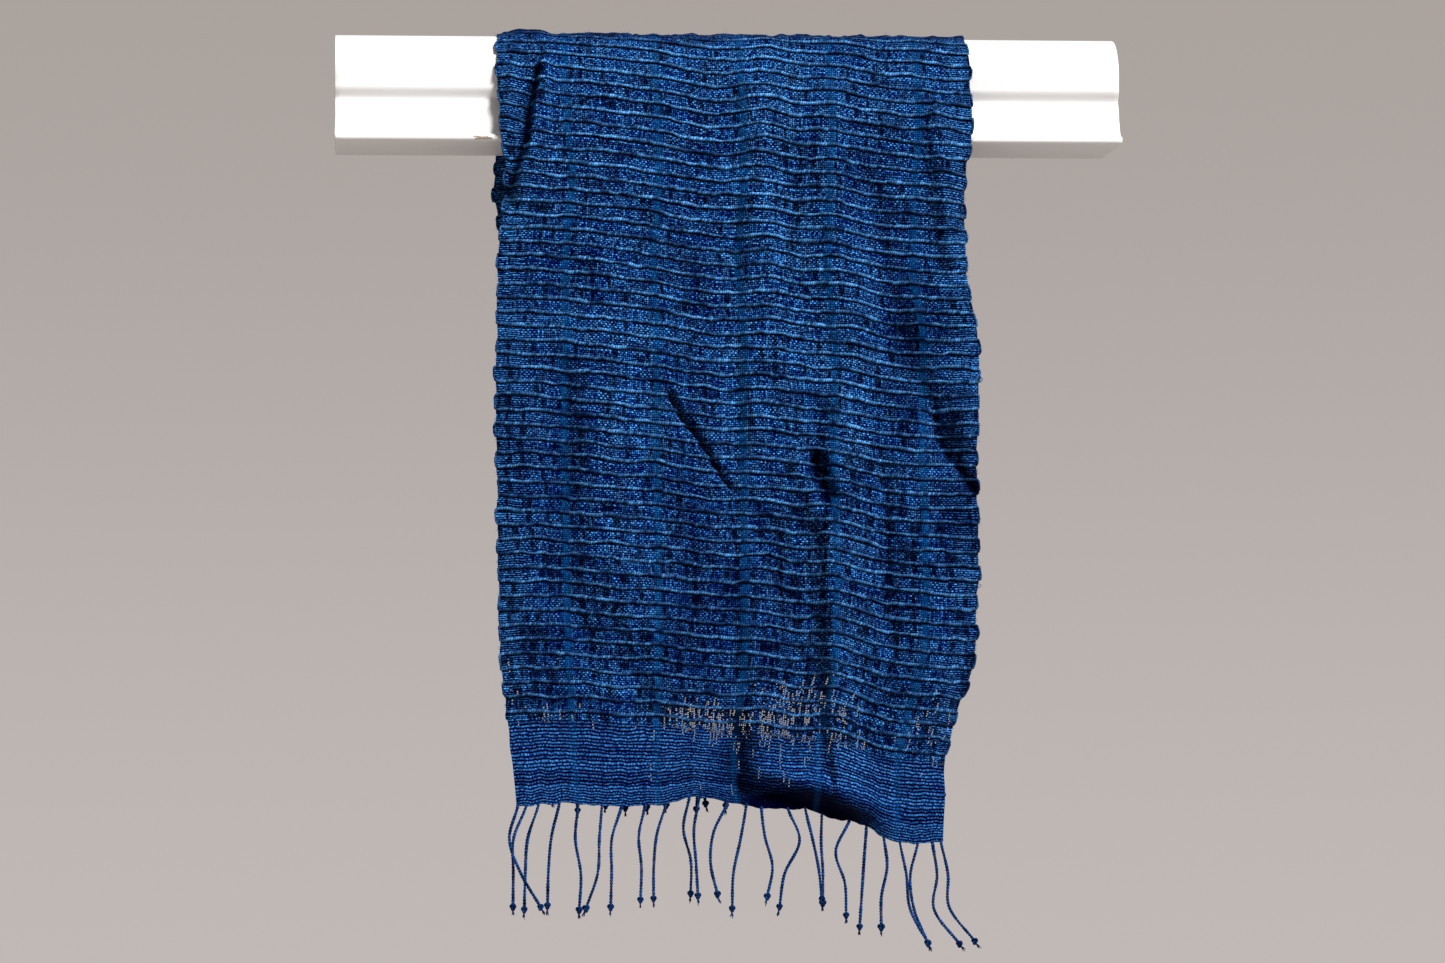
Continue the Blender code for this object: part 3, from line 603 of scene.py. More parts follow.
def threadGroup(form):
    # plain weave: threads across and along as round bars that pass over and under each other, each with
    # its own width and shade; where neither covers, there is a hole
    group, given, out = newGroup("plainWeave", {
        "Across": 0.0, "Along": 0.0, "Warp Pitch": 0.0012, "Weft Pitch": 0.0015, "Openness": 0.3,
        "Hole Size": 0.12, "Weft Face": 0.0}, ("Height", "Cover", "Shade", "Weft Over"))
    across, along, warpPitch, weftPitch, openness, holeSize, weftFace = given
    warp = across / warpPitch + (noise(form["warpSwayScale"], across, along) - 0.5) * form["sway"]
    weft = along / weftPitch + (noise(form["weftSwayScale"], along, across, 3.0) - 0.5) * form["sway"]
    end, pick = warp.floor(), weft.floor()
    warpChance, weftChance = whiteNoise(end, 1.0), whiteNoise(pick, 7.0)
    # holes open where two warp threads part for a few picks: each run of gaps along the warp has its own
    # chance, and each gap in it too
    gap, row = (warp + 0.5).floor(), (weft + 0.5).floor()
    run = ((whiteNoise(gap, 21.0) * form["holeRun"] + row) / form["holeRun"]).floor()
    torn = (whiteNoise(gap, run, 12.0) < openness) * (whiteNoise(gap, row, 15.0) < form["holeShare"])
    parting = torn * holeSize
    (warpLeast, warpMore), (weftLeast, weftMore) = form["warpHalf"], form["weftHalf"]
    warpRound = 1.0 - (abs(warp - end - 0.5) / (warpChance * warpMore + warpLeast - parting)) ** 2.0
    weftRound = 1.0 - (abs(weft - pick - 0.5) / (weftChance * weftMore + weftLeast - parting)) ** 2.0
    # a thread rises over every second one that it crosses; on a weft face the picks lie over the warp and
    # only dip a little where they cross it
    warpFall, weftFall = (form["rise"] - least for least in form["faceRise"])
    warpRise = (1.0 - end % 2.0 * 2.0) * (weft * math.pi).sine() * (form["rise"] - weftFace * warpFall)
    weftRise = (1.0 - pick % 2.0 * 2.0) * (warp * -math.pi).sine() * (form["rise"] - weftFace * weftFall)
    warpCover, weftCover = warpRound > 0.0, weftRound > 0.0
    warpSeen = warpCover * (warpRise + warpRound - weftFace * form["faceWarp"] + 2.0) - 2.0
    weftSeen = weftCover * (weftRise + weftRound + weftFace * form["faceWeft"] + 2.0) - 2.0
    weftOver = weftSeen > warpSeen
    feed(out["Height"], warpSeen.larger(weftSeen).larger(-1.0))
    # fuzz fills the gaps that are not holes
    feed(out["Cover"], 1.0 - (1.0 - warpCover.larger(weftCover)) * torn)
    feed(out["Weft Over"], weftOver)
    own = weftOver * (weftChance - warpChance) + warpChance
    crossing = whiteNoise(end, pick, 4.0)
    groundShade = crossing * 0.72 + own * 0.28
    faceShade = crossing * 0.20 + own * 0.22 + 0.32
    feed(out["Shade"], (faceShade - groundShade) * weftFace + groundShade)
    return group


def mottleGroup():
    # uneven dye: broad clouds, streaks along the warp and finer ones along the picks
    group, (across, along), out = newGroup("unevenDye", {"Across": 0.0, "Along": 0.0}, ("Amount",))
    cloud = noise(22.0, across, along, 2.0, 3.0, 0.6)
    streak = noise(240.0, across, along * 0.06, 5.0, 2.0, 0.6)
    pick = noise(330.0, across * 0.05, along, 8.0, 1.0)
    feed(out["Amount"], cloud * 0.35 + streak * 0.4 + pick * 0.25)
    return group


weaveNodes = threadGroup(weaveForm)
dyeNodes = mottleGroup()

silk = {
    # deep is painted shade for the gaps, the pucker dashes and the line under each cord; body is the silk's
    # own colour; light is the painted highlight on the threads' crowns
    "deep": (0.0001, 0.0001, 0.0050),
    "body": (0.0002, 0.0044, 0.0760),
    "light": (0.0800, 0.4000, 1.0000),
    "stripe": (0.0020, 0.0580, 0.1950),
    "stripeAt": (0.142, 0.331, 0.512, 0.700, 0.887),  # shares across of the five closer warp stripes
    "stripeHalf": 0.0105,
    "warpPitch": 0.00150,
    "weftPitch": 0.00155,
    "holeSize": 0.13,  # share of a thread's pitch by which it draws back from a hole
    "bandWarpPitch": 0.00130,
    "bandWeftPitch": 0.00215,
    "bandHoleSize": 0.09,
    "roughness": 0.58,
    "sheen": 0.02,
    "tint": (0.02, 0.10, 1.0),  # of the sheen and the highlights
    "specular": 0.06,
    "relief": 0.0006,
    "stripeCloses": 0.8,  # share of the holes that a stripe closes
    "edgeFrom": 0.43,  # share from the middle at which the picks start to cover the warp
    # puckers: noise scales, the noise below which the ground gets painted shade, and more of it lower down
    "dashScale": 230.0,
    "sharedDashScale": 190.0,
    "dashBelow": 0.520,
    "dashLower": 0.045,
    "dashOpen": 0.10,
    "dashShadeDark": 0.92,
    # the broken line of painted shade below each cord: noise scale, least width and more, in cord pitches
    "underScale": 420.0,
    "underWidth": (0.05, 0.30),
    "shadeUnderCordDark": 0.8,
    "gritScale": 640.0,
}


def silkMaterial(values):
    # colour, cover and height follow the attributes "thread" (across, along, openness), "placeInCloth"
    # (share across, cord, share of the end band) and the per-point tone, which carries painted shade
    material, tree, shader = newMaterial("indigoSilk", values["roughness"], values["sheen"], values["tint"],
                                         values["specular"])
    across, along, openness = vectorParts(attribute(tree, "thread", "Vector"))
    share, cord, band = vectorParts(attribute(tree, "placeInCloth", "Vector"))
    toneAndShade = attribute(tree, "toneAndShade")
    endBand = (band * 14.0).held()
    # the closer stripes: full where the share across is within a half-width of one of the five
    nearest = abs(share - values["stripeAt"][0])
    for centre in values["stripeAt"][1:]:
        nearest = nearest.smaller(abs(share - centre))
    stripe = ((1.0 - nearest / values["stripeHalf"]).held() * 1.6).held()
    closer = 1.0 - stripe * values["stripeCloses"]
    # near the selvedges the picks cover the warp
    edge = ((abs(share - 0.5) - values["edgeFrom"]) * 40.0).held()
    threads = {"Across": across, "Along": along, "Openness": openness * closer}
    ground = placeGroup(tree, weaveNodes, {
        **threads, "Hole Size": values["holeSize"], "Weft Face": edge * 0.8,
        "Warp Pitch": values["warpPitch"], "Weft Pitch": values["weftPitch"]})
    plain = placeGroup(tree, weaveNodes, {
        **threads, "Hole Size": values["bandHoleSize"], "Weft Face": 0.9,
        "Warp Pitch": values["bandWarpPitch"], "Weft Pitch": values["bandWeftPitch"]})
    weave = {name: mix(ground[name], plain[name], endBand) for name in ground}
    dye = placeGroup(tree, dyeNodes, {"Across": across, "Along": along})["Amount"]

    # puckers: painted shade as dark vertical dashes between two cords, in part lined up from strip to strip
    reach = abs(cord)
    strip = reach.floor()
    below = reach - strip
    own = noise(values["dashScale"], across, strip * 0.05, 1.0, 1.0)
    shared = noise(values["sharedDashScale"], across, cord * 0.0012, 9.0, 1.0)
    low = ((reach - 24.0) * 0.045).held()
    limit = openness * values["dashOpen"] + (low * values["dashLower"] + values["dashBelow"])
    dashShade = ((limit - (shared * 0.55 + own * 0.6)) * 14.0).held() * (below * math.pi).sine() * closer
    # painted shade: a dark broken line just below each cord
    least, more = values["underWidth"]
    width = noise(values["underScale"], across, strip * 0.03, 4.0) * more + least
    shadeUnderCord = ((1.0 - below / width).held() * 1.8).held() * values["shadeUnderCordDark"]
    dashShade = (dashShade * values["dashShadeDark"]).larger(shadeUnderCord) * (1.0 - endBand)

    # painted highlights lie on the threads' crowns, unevenly, and painted shade on their sides and in the
    # gaps between them
    height = weave["Height"]
    grit = ((noise(values["gritScale"], across, along, 7.0, 2.0, 0.7) - 0.40) * 5.0).held()
    crown = ((height - 0.50) * 1.2).held() * (weave["Weft Over"] * 0.55 + 0.45)
    crownHighlight = crown * (weave["Shade"] ** 1.6 * 1.75 + 0.05)
    crownHighlight = (((dye - 0.5) * 1.8 * crown + crownHighlight) * grit).held()
    crownHighlight = ((crownHighlight - 0.03) * 1.2).held() * toneAndShade * (1.0 - endBand * 0.22)
    # painted shade: the threads' low sides and the gaps go to the deep colour, more where the tone carries
    # painted shade
    side = ((height - 0.26) * 1.15).held() * (toneAndShade * 1.5).held()
    base = blendColour(crownHighlight, blendColour(side, values["deep"], values["body"]), values["light"])
    fleck = stripe * (grit * 0.28 + 0.46) * (1.0 - endBand * 0.6)
    base = blendColour(dashShade, blendColour(fleck, base, values["stripe"]), values["deep"])
    feed(shader["Base Color"], base)
    feed(shader["Alpha"], weave["Cover"])
    feed(shader["Normal"], bumpNormal(height - dashShade * 1.5, 1.0, values["relief"]))
    return material


# for cords and fringe, deep is painted shade and light the painted highlight on each turn of the twist, mixed
# by the yarn's own slubs and clouds of dye
cordLook = {
    "deep": (0.0001, 0.0012, 0.0260),
    "light": (0.1300, 0.4650, 1.0000),
    "roughness": 0.5,
    "bead": 0.0017,  # from one turn of the twist to the next
}
fringeLook = {
    "deep": (0.0003, 0.0020, 0.0150),
    "light": (0.0170, 0.1000, 0.3800),
    "roughness": 0.55,
    "bead": 0.0011,
}
yarnSheen = {"sheen": 0.04, "tint": (0.05, 0.20, 1.0), "specular": 0.12}


def yarnMaterial(name, values):
    # twisted yarn: a painted highlight on each turn of the twist, fibres across it and clouds of dye, from
    # the attributes "yarn" (metres along, share round, the thread's own number) and the tone, which also
    # carries painted shade
    material, tree, shader = newMaterial(name, values["roughness"], **yarnSheen)
    along, around, thread = vectorParts(attribute(tree, "yarn", "Vector"))
    twist = along * (1.0 / values["bead"]) + around + noise(300.0, along, thread, 6.0, 1.0) * 1.6
    turn = twist.floor()
    off = (twist - turn) * 2.0 - 1.0
    bead = 1.0 - off * off
    own = whiteNoise(turn, thread, 2.0)
    fibre = noise(1400.0, along, around * 0.004, thread, 2.0, 0.6)
    slub = noise(90.0, along, thread, 1.0, 3.0, 0.65)
    cloud = noise(22.0, along, thread, 2.0)
    patch = ((slub - 0.5) * 3.0 + ((cloud - 0.5) * 2.4 + 0.5)).held()
    # painted highlight on each bead, dimmed by the yarn's own slubs and clouds and by the tone's painted
    # shade
    shade = (bead * (own * 0.84 + 0.15) * (patch * 1.1 + 0.14)).held() * attribute(tree, "toneAndShade")
    feed(shader["Base Color"], blendColour(shade, values["deep"], values["light"]))
    feed(shader["Normal"], bumpNormal(bead * 0.8 + fibre * 0.5, 0.7, 0.0003))
    return material


silkLook = silkMaterial(silk)
cordSilk = yarnMaterial("cordSilk", cordLook)
fringeSilk = yarnMaterial("fringeSilk", fringeLook)
print("materials made")


def gridFaces(rows, columns, closed=False):
    # quads over a grid in row order; closed joins the last column to the first
    row, column = np.meshgrid(np.arange(rows - 1), np.arange(columns if closed else columns - 1),
                              indexing="ij")
    after = (column + 1) % columns
    return np.stack([row * columns + column, (row + 1) * columns + column,
                     (row + 1) * columns + after, row * columns + after], axis=-1).reshape(-1, 4)


def addPiece(name, points, faces, material):
    mesh = bpy.data.meshes.new(name)
    mesh.from_pydata(np.asarray(points).reshape(-1, 3).tolist(), [], faces)
    mesh.materials.append(material)
    mesh.shade_smooth()
    mesh.update()
    piece = bpy.data.objects.new(name, mesh)
    sceneNow.collection.objects.link(piece)
    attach(piece, "root")
    return piece


def addAttribute(piece, name, values):
    # three numbers for each point, or one
    isVector = np.shape(values)[-1] == 3
    layer = piece.data.attributes.new(name, "FLOAT_VECTOR" if isVector else "FLOAT", "POINT")
    layer.data.foreach_set("vector" if isVector else "value",
                           np.ascontiguousarray(values, dtype=np.float32).reshape(-1))


def addUnitMap(piece, across, along):
    # a UV map from 0 to 1 both ways, one value for each point
    layer = piece.data.uv_layers.new(name="clothMap")
    loops = np.empty(len(piece.data.loops), dtype=np.int32)
    piece.data.loops.foreach_get("vertex_index", loops)
    pairs = np.stack([np.ravel(across)[loops], np.ravel(along)[loops]], axis=-1)
    layer.data.foreach_set("uv", np.ascontiguousarray(pairs, dtype=np.float32).reshape(-1))


cords = {
    "radius": 0.00102,
    "rise": 0.00075,  # of the cord's middle over the ground
    "crownSink": 0.0014,  # how much lower it lies on the crown
    "loop": 0.0010,  # how far the turns reach past the selvedge
    "loopSeed": 51,
    "pointsAcross": 205,
    "turnPoints": 7,
    "sides": 6,
    # unevenness: how much, waves across, waves a cord, and what is added to the seed
    "wander": ((0.00075, 21.0, 5.3, 0), (0.000525, 64.0, 7.7, 1), (0.000375, 117.0, 4.3, 6)),
    "riseUneven": ((0.0004, 52.0, 3.1, 2),),
    "slub": ((0.38, 80.0, 9.1, 3), (0.16, 13.0, 1.7, 5)),
    "lump": ((1.0, 17.0, 2.7, 4),),  # lumps stand where this passes lumpFrom
    "lumpFrom": 0.60,
    "lumpSize": 0.80,
}

ground = {
    "columns": 230,
    "stepsPerCord": 9,
    "bandRows": 50,
    "belly": 0.00055,  # how far the ground swells between two cords
    "trench": 0.0006,  # how far it dips just below a cord
    "pucker": 0.0013,
    "puckerWidth": 0.0037,
    "ripple": 0.0006,  # of the plain end band
    "width": 0.345,
    "openMost": 0.66,
    "bandOpen": 0.40,  # share of the openness that the end band keeps
}

# places on the front where the ground is more puckered and open: (across, down, size across, size down, more)
looserPlaces = (
    (0.044, 0.395, 0.025, 0.018, 4.0),
    (0.010, 0.414, 0.046, 0.012, 3.4),
    (-0.026, 0.405, 0.018, 0.009, 3.0),
    (0.020, 0.438, 0.038, 0.016, 0.7),
    (-0.135, 0.378, 0.024, 0.026, 1.7),
    (0.080, 0.424, 0.010, 0.010, 1.5),
    (0.137, 0.415, 0.012, 0.020, 1.7),
)

# places of painted shade: (across, down, size across, size down, share of the light taken away);
# a share below zero is a place of painted light
paintedShadeAndLight = (
    (-0.032, 0.315, 0.018, 0.100, 0.34),
    (-0.032, 0.140, 0.013, 0.090, 0.22),
    (0.005, 0.330, 0.036, 0.060, 0.30),
    (0.122, 0.145, 0.017, 0.065, 0.72),
    (0.090, 0.025, 0.014, 0.035, 0.24),
    (0.160, 0.255, 0.020, 0.050, 0.55),
    (-0.122, 0.245, 0.018, 0.150, 0.46),
    (-0.160, 0.165, 0.016, 0.050, 0.32),
    (0.110, 0.300, 0.020, 0.070, 0.12),
    (0.028, 0.060, 0.028, 0.110, -0.36),
    (0.088, 0.150, 0.016, 0.060, -0.22),
    (0.086, 0.430, 0.018, 0.045, -0.34),
    (-0.085, 0.180, 0.015, 0.130, -0.20),
    (-0.163, 0.060, 0.014, 0.060, -0.24),
    (-0.163, 0.350, 0.016, 0.030, -0.36),
    (0.055, 0.290, 0.014, 0.070, -0.25),
    (0.002, 0.436, 0.016, 0.018, 0.80),
    (0.040, 0.4665, 0.050, 0.0120, 1.30),
    (0.078, 0.4790, 0.028, 0.0100, 1.00),
    (0.058, 0.228, 0.010, 0.026, 0.45),
    (0.057, 0.183, 0.010, 0.006, 0.50),
    (-0.090, 0.450, 0.070, 0.020, 0.14),
)

# painted shade along sharp creases: (across, down) at the start and the end, width, how dark the ground, how
# dark the cords
creaseShadeLines = (
    (-0.1400, -0.056, -0.1490, -0.008, 0.0020, 0.95, 0.90),
    (-0.1490, -0.008, -0.1545, 0.014, 0.0026, 0.95, 0.95),
    (-0.1545, 0.014, -0.1580, 0.034, 0.0020, 0.60, 0.40),
    (0.0590, 0.222, 0.0580, 0.238, 0.0050, 0.98, 0.35),
    (0.0620, 0.242, 0.0670, 0.253, 0.0046, 0.98, 0.50),
    (0.0610, 0.190, 0.0600, 0.216, 0.0030, 0.70, 0.20),
    (0.1435, 0.2050, 0.1520, 0.2240, 0.0032, 0.95, 0.30),
    (0.1600, 0.2290, 0.1700, 0.2480, 0.0042, 0.95, 0.60),
    (0.1050, 0.2150, 0.1055, 0.2400, 0.0013, 0.85, 0.10),
    (0.1040, 0.2700, 0.1060, 0.3300, 0.0018, 0.60, 0.10),
    (0.1190, 0.2430, 0.1200, 0.2650, 0.0022, 0.70, 0.10),
    (0.1700, 0.0020, 0.1680, 0.0400, 0.0026, 0.80, 0.70),
    (-0.0300, 0.2600, -0.0270, 0.3400, 0.0020, 0.60, 0.10),
    (-0.0500, 0.2900, -0.0490, 0.3600, 0.0016, 0.60, 0.10),
    (0.0000, 0.3000, 0.0030, 0.3800, 0.0022, 0.65, 0.10),
    (0.0320, 0.2950, 0.0350, 0.3700, 0.0022, 0.65, 0.10),
    (-0.1200, 0.2700, -0.1180, 0.3300, 0.0018, 0.60, 0.10),
)


def bellPlaces(rows, across, down):
    # the sum of bell shapes, each with its row's last value at its middle
    total = np.zeros(np.shape(across))
    for x, z, wide, tall, most in rows:
        total += most * np.exp(-((across - x) / wide) ** 2 - ((down - z) / tall) ** 2)
    return total


def creaseShade(across, down, column):
    # the darkest painted crease shade at each place, with ragged outlines
    x = across + waver("crease", across, down)
    total = np.zeros(np.shape(across))
    for x0, z0, x1, z1, wide, *dark in creaseShadeLines:
        travel = (x - x0) * (x1 - x0) + (down - z0) * (z1 - z0)
        travel = np.clip(travel / ((x1 - x0) ** 2 + (z1 - z0) ** 2), 0.0, 1.0)
        gap = np.hypot(x - mix(x0, x1, travel), down - mix(z0, z1, travel))
        total = np.maximum(total, dark[column] * np.exp(-(gap / wide) ** 3))
    return total


def placeShadeAndLight(across, down):
    # 1 less the painted shade of these places, more in the places of painted light
    return np.clip(1.0 - bellPlaces(paintedShadeAndLight, across, down), 0.0, 2.0)


def crownShare(reach):
    # 0 on the crown, 1 where the cloth turns down
    return ease((np.abs(reach) - 0.009) / 0.021)


def groundPaintedShade(across, down, reach, cord):
    # 1 where no shade is painted; painted shade near the crown, in the creases and the places of painted
    # shade (lighter in those of painted light) and, bit by bit, towards the hem
    marks = placeShadeAndLight(across, down) * (1.0 - creaseShade(across, down, 0))
    total = np.where(cord > 0.0, marks, 1.0)
    return total * mix(0.30, 1.0, crownShare(reach)) * (1.0 - 0.0030 * np.abs(cord))


def stripPucker(share, cord, seed):
    # between two cords the ground gathers: narrow troughs at uneven places, partly in line from one strip
    # to the next, fading out at the cords
    strip = np.floor(cord)
    x = share * ground["width"] / ground["puckerWidth"]
    mixed = 0.5 * latticeNoise(x, strip, seed) + 0.8 * latticeNoise(x * 0.93 + 4.0, strip * 0.22, seed + 1)
    low = (np.abs(cord) - np.floor(np.abs(cord))) ** 1.25
    return mixed, np.sin(np.pi * low) ** 2


def groundSheet(name, firstHalf, lastHalf, bandRows, seed):
    # a grid over share across and distance along, from one half step of the cords to another, with the
    # plain end band's rows at its free end
    steps = int(round((lastHalf - firstHalf) / 2 * ground["stepsPerCord"]))
    cord = np.linspace(firstHalf, lastHalf, steps + 1) / 2
    band = np.concatenate([np.zeros(len(cord)), np.arange(1, bandRows + 1) / max(bandRows, 1)])
    cord = np.concatenate([cord, np.full(bandRows, cord[-1])])
    if lastHalf < 0:
        # at the back the free end comes first
        cord = np.concatenate([np.full(bandRows, firstHalf / 2), cord[:steps + 1]])
        band = band[::-1]
    share = np.linspace(0.0, 1.0, ground["columns"] + 1)
    shares, cordNumbers = np.meshgrid(share, cord)
    distances = cordNumbers * cloth["cordPitch"]
    bands = np.repeat(band[:, None], len(share), axis=1)
    flat = clothPlace(shares, distances, bands, cloth["lift"])
    across, down = flat[..., 0] - askewShift(flat[..., 2]), -flat[..., 2]
    loose = bellPlaces(looserPlaces, across, down) if firstHalf > 0 else np.zeros(across.shape)
    gather, between = stripPucker(shares, cordNumbers, seed)
    inCords = 1.0 - ease(bands * 12.0)
    trough = -np.clip(-gather - 0.05, 0.0, 1.0) * ground["pucker"] * (0.55 + 1.3 * np.minimum(loose, 2.5))
    crest = np.clip(gather, 0.0, 1.0) * ground["pucker"] * 0.35
    low = np.abs(cordNumbers) - np.floor(np.abs(cordNumbers))
    trench = ground["trench"] * np.exp(-((low - 0.13) / 0.11) ** 2)
    push = ((ground["belly"] + trough + crest) * between - trench) * inCords
    push += ground["ripple"] * latticeNoise(shares * 46.0, bands * 2.2 + 0.5, seed + 5) * ease(bands * 4.0)
    flare = loopFlare(shares, distances) * (bands == 0.0)
    points = clothPlace(shares, distances, bands, cloth["lift"] + push, flare)
    piece = addPiece(name, points, gridFaces(len(cord), len(share)).tolist(), silkLook)
    middle = pathLengths(points[:, len(share) // 2])
    along = np.repeat(middle[:, None], len(share), axis=1)
    # holes gather in the troughs, halfway between two cords
    openness = 0.30 * loose * (0.55 + 1.3 * np.clip(-gather, 0.0, 1.0)) * mix(1.0, between ** 0.25, inCords)
    openness = np.clip(openness, 0.0, ground["openMost"]) * mix(1.0, ground["bandOpen"], ease(bands * 6.0))
    addAttribute(piece, "thread", np.stack([shares * ground["width"], along + 0.37 * (seed % 7), openness],
                                           axis=-1))
    addAttribute(piece, "placeInCloth", np.stack([shares, cordNumbers, bands], axis=-1))
    # the ground's painted shade, kept in its tone attribute
    toneAndShade = groundPaintedShade(across, down, distances + cordSag(across, distances), cordNumbers)
    addAttribute(piece, "toneAndShade", np.ravel(toneAndShade))
    addUnitMap(piece, shares, along / middle[-1])
    return piece, round(float(middle[-1]), 3)


turnEdge = 2 * cloth["turnCords"] + 1
frontEdge = 2 * cloth["frontCords"] + 1
backEdge = 2 * cloth["backCords"] + 1
frontSheet, frontLength = groundSheet("scarfFront", turnEdge, frontEdge, ground["bandRows"], 11)
turnSheet, turnLength = groundSheet("scarfOverRail", -turnEdge, turnEdge, 0, 23)
backSheet, backLength = groundSheet("scarfBack", -backEdge, -turnEdge, ground["bandRows"] // 2, 37)
print("ground woven:", [frontLength, turnLength, backLength])


def pathSides(path, guide):
    # unit directions square to a path at each point: up, nearest to the guide, and beside
    forward = unit(np.gradient(path, axis=0))
    up = unit(guide - forward * np.sum(guide * forward, axis=1, keepdims=True))
    return up, np.cross(up, forward)


def tubeAlong(path, radius, guide, sides):
    # rings of points round a path, each square to it
    up, beside = pathSides(path, guide)
    angle = np.arange(sides) * 2.0 * math.pi / sides
    ring = beside[:, None] * np.cos(angle)[None, :, None] + up[:, None] * np.sin(angle)[None, :, None]
    return path[:, None] + ring * np.reshape(np.broadcast_to(radius, len(path)), (-1, 1, 1))


def tubeFaces(rings, sides, start):
    # the tube's quads, and its ring at each end
    quads = gridFaces(rings, sides, closed=True)[:, ::-1] + start
    first = list(range(start, start + sides))
    last = list(range(start + (rings - 1) * sides, start + rings * sides))
    return quads.tolist() + [first[::-1], last]


class Yarns:
    # tubes gathered into one piece, each with its yarn attribute (metres along, share round, own number)
    # and its tone, which also carries painted shade
    def __init__(self):
        self.points, self.faces, self.marks, self.tones, self.count = [], [], [], [], 0

    def lay(self, path, radius, guide, sides, along, number, toneAndShade):
        # along is the metres at each point, or the whole length, and tone one value or one for each point
        rings = len(path)
        if np.ndim(along) == 0:
            along = np.linspace(0.0, along, rings)
        self.faces.extend(tubeFaces(rings, sides, self.count))
        self.points.append(tubeAlong(path, radius, guide, sides).reshape(-1, 3))
        alongs, arounds = np.meshgrid(along, np.arange(sides) / sides, indexing="ij")
        self.marks.append(np.stack([alongs, arounds, np.full(alongs.shape, number)], axis=-1).reshape(-1, 3))
        self.tones.append(np.repeat(np.broadcast_to(toneAndShade, rings), sides))
        self.count += rings * sides

    def make(self, name, material, mapLength):
        # mapLength is the length of yarn that fills the UV map
        piece = addPiece(name, np.vstack(self.points), self.faces, material)
        marks = np.vstack(self.marks)
        addAttribute(piece, "yarn", marks)
        addAttribute(piece, "toneAndShade", np.concatenate(self.tones))
        addUnitMap(piece, np.clip(marks[:, 0] / mapLength, 0.0, 1.0), marks[:, 1])
        return piece


def selvedgeShare(share):
    # 1 at the selvedges, 0 a few threads in
    return np.clip(1.0 - np.minimum(share, 1.0 - share) / 0.012, 0.0, 1.0)


def cordToneAndShade(share, cord, reach):
    # 1 for a cord with no shade painted; lower in the closer stripes and at the selvedges, and painted shade
    # near the crown and, little by little, towards the hem
    gap = np.min([np.abs(share - centre) for centre in silk["stripeAt"]], axis=0)
    stripe = 0.45 * np.clip(1.6 - 1.6 * gap / silk["stripeHalf"], 0.0, 1.0)
    crownAndHemShade = mix(0.2, 1.0, crownShare(reach)) * (1.0 - 0.009 * np.abs(cord))
    return (1.0 - stripe) * (1.0 - 0.5 * selvedgeShare(share)) * crownAndHemShade


def cordRun(name, first, last, seed):
    # one thick weft, laid to and fro: straight runs of share across, and half-ellipse turns at the
    # selvedges, left between an odd cord and the next, right between an even one and the next
    run = np.linspace(0.0, 1.0, cords["pointsAcross"])
    turn = np.linspace(-0.5, 0.5, cords["turnPoints"] + 2)[1:-1] * math.pi
    rows = []
    for cord in range(first, last + 1):
        isOdd = cord % 2 != 0
        rows.append(np.column_stack([1.0 - run if isOdd else run, np.full(len(run), cord), 0.0 * run]))
        if cord < last:
            rows.append(np.column_stack([np.full(len(turn), 0.0 if isOdd else 1.0),
                                         cord + 0.5 + 0.5 * np.sin(turn),
                                         (-1.0 if isOdd else 1.0) * loopSize(cord) * np.cos(turn)]))
    share, cord, flare = np.vstack(rows).T
    distance = cord * cloth["cordPitch"]
    place = distance + yarnWaver(cords["wander"], share, cord, seed)
    reach = distance + cordSag(mix(-0.17, 0.17, share), distance)
    rise = cords["rise"] + yarnWaver(cords["riseUneven"], share, cord, seed)
    rise = rise - cords["crownSink"] * (1.0 - crownShare(reach))
    path = clothPlace(share, place, 0.0, cloth["lift"] + rise, flare)
    outer = clothPlace(share, place, 0.0, cloth["lift"] + rise + 0.001, flare)
    lump = np.clip(yarnWaver(cords["lump"], share, cord, seed) - cords["lumpFrom"], 0.0, 1.0)
    thick = 1.0 + yarnWaver(cords["slub"], share, cord, seed) + cords["lumpSize"] * lump
    radius = cords["radius"] * thick * (1.0 - 0.30 * selvedgeShare(share)) * mix(0.6, 1.0, crownShare(reach))
    radius[[0, -1]] *= 0.5
    across, down = path[:, 0] - askewShift(path[:, 2]), -path[:, 2]
    # painted shade in the creases and in the places of painted shade and light
    marks = (1.0 - creaseShade(across, down, 1)) * mix(1.0, placeShadeAndLight(across, down), 0.7)
    toneAndShade = cordToneAndShade(share, cord, reach) * np.where(distance > 0.0, marks, 1.0)
    along = pathLengths(path)
    yarns = Yarns()
    yarns.lay(path, radius, outer - path, cords["sides"], along, seed * 0.37, toneAndShade)
    return yarns.make(name, cordSilk, along[-1])


fuzz = {
    "hairs": 1500,
    "length": 0.0011,
    "radius": 0.00015,
    "points": 5,
    "atSelvedges": 0.55,  # shares of the hairs that stand at the selvedges and near the crown
    "atCrown": 0.12,
    "backShare": 0.75,  # how far the hairs go down the back, against the front
    "toneAndShade": 0.7,
    "strayLength": 0.012,  # metres of yarn in a loose loop
}
# loose yarns at the right selvedge: distance from the crown, width and height of the loop, thickness
strayYarns = ((0.2480, 0.0034, 0.0042, 0.00036), (0.3905, 0.0030, 0.0022, 0.00022))


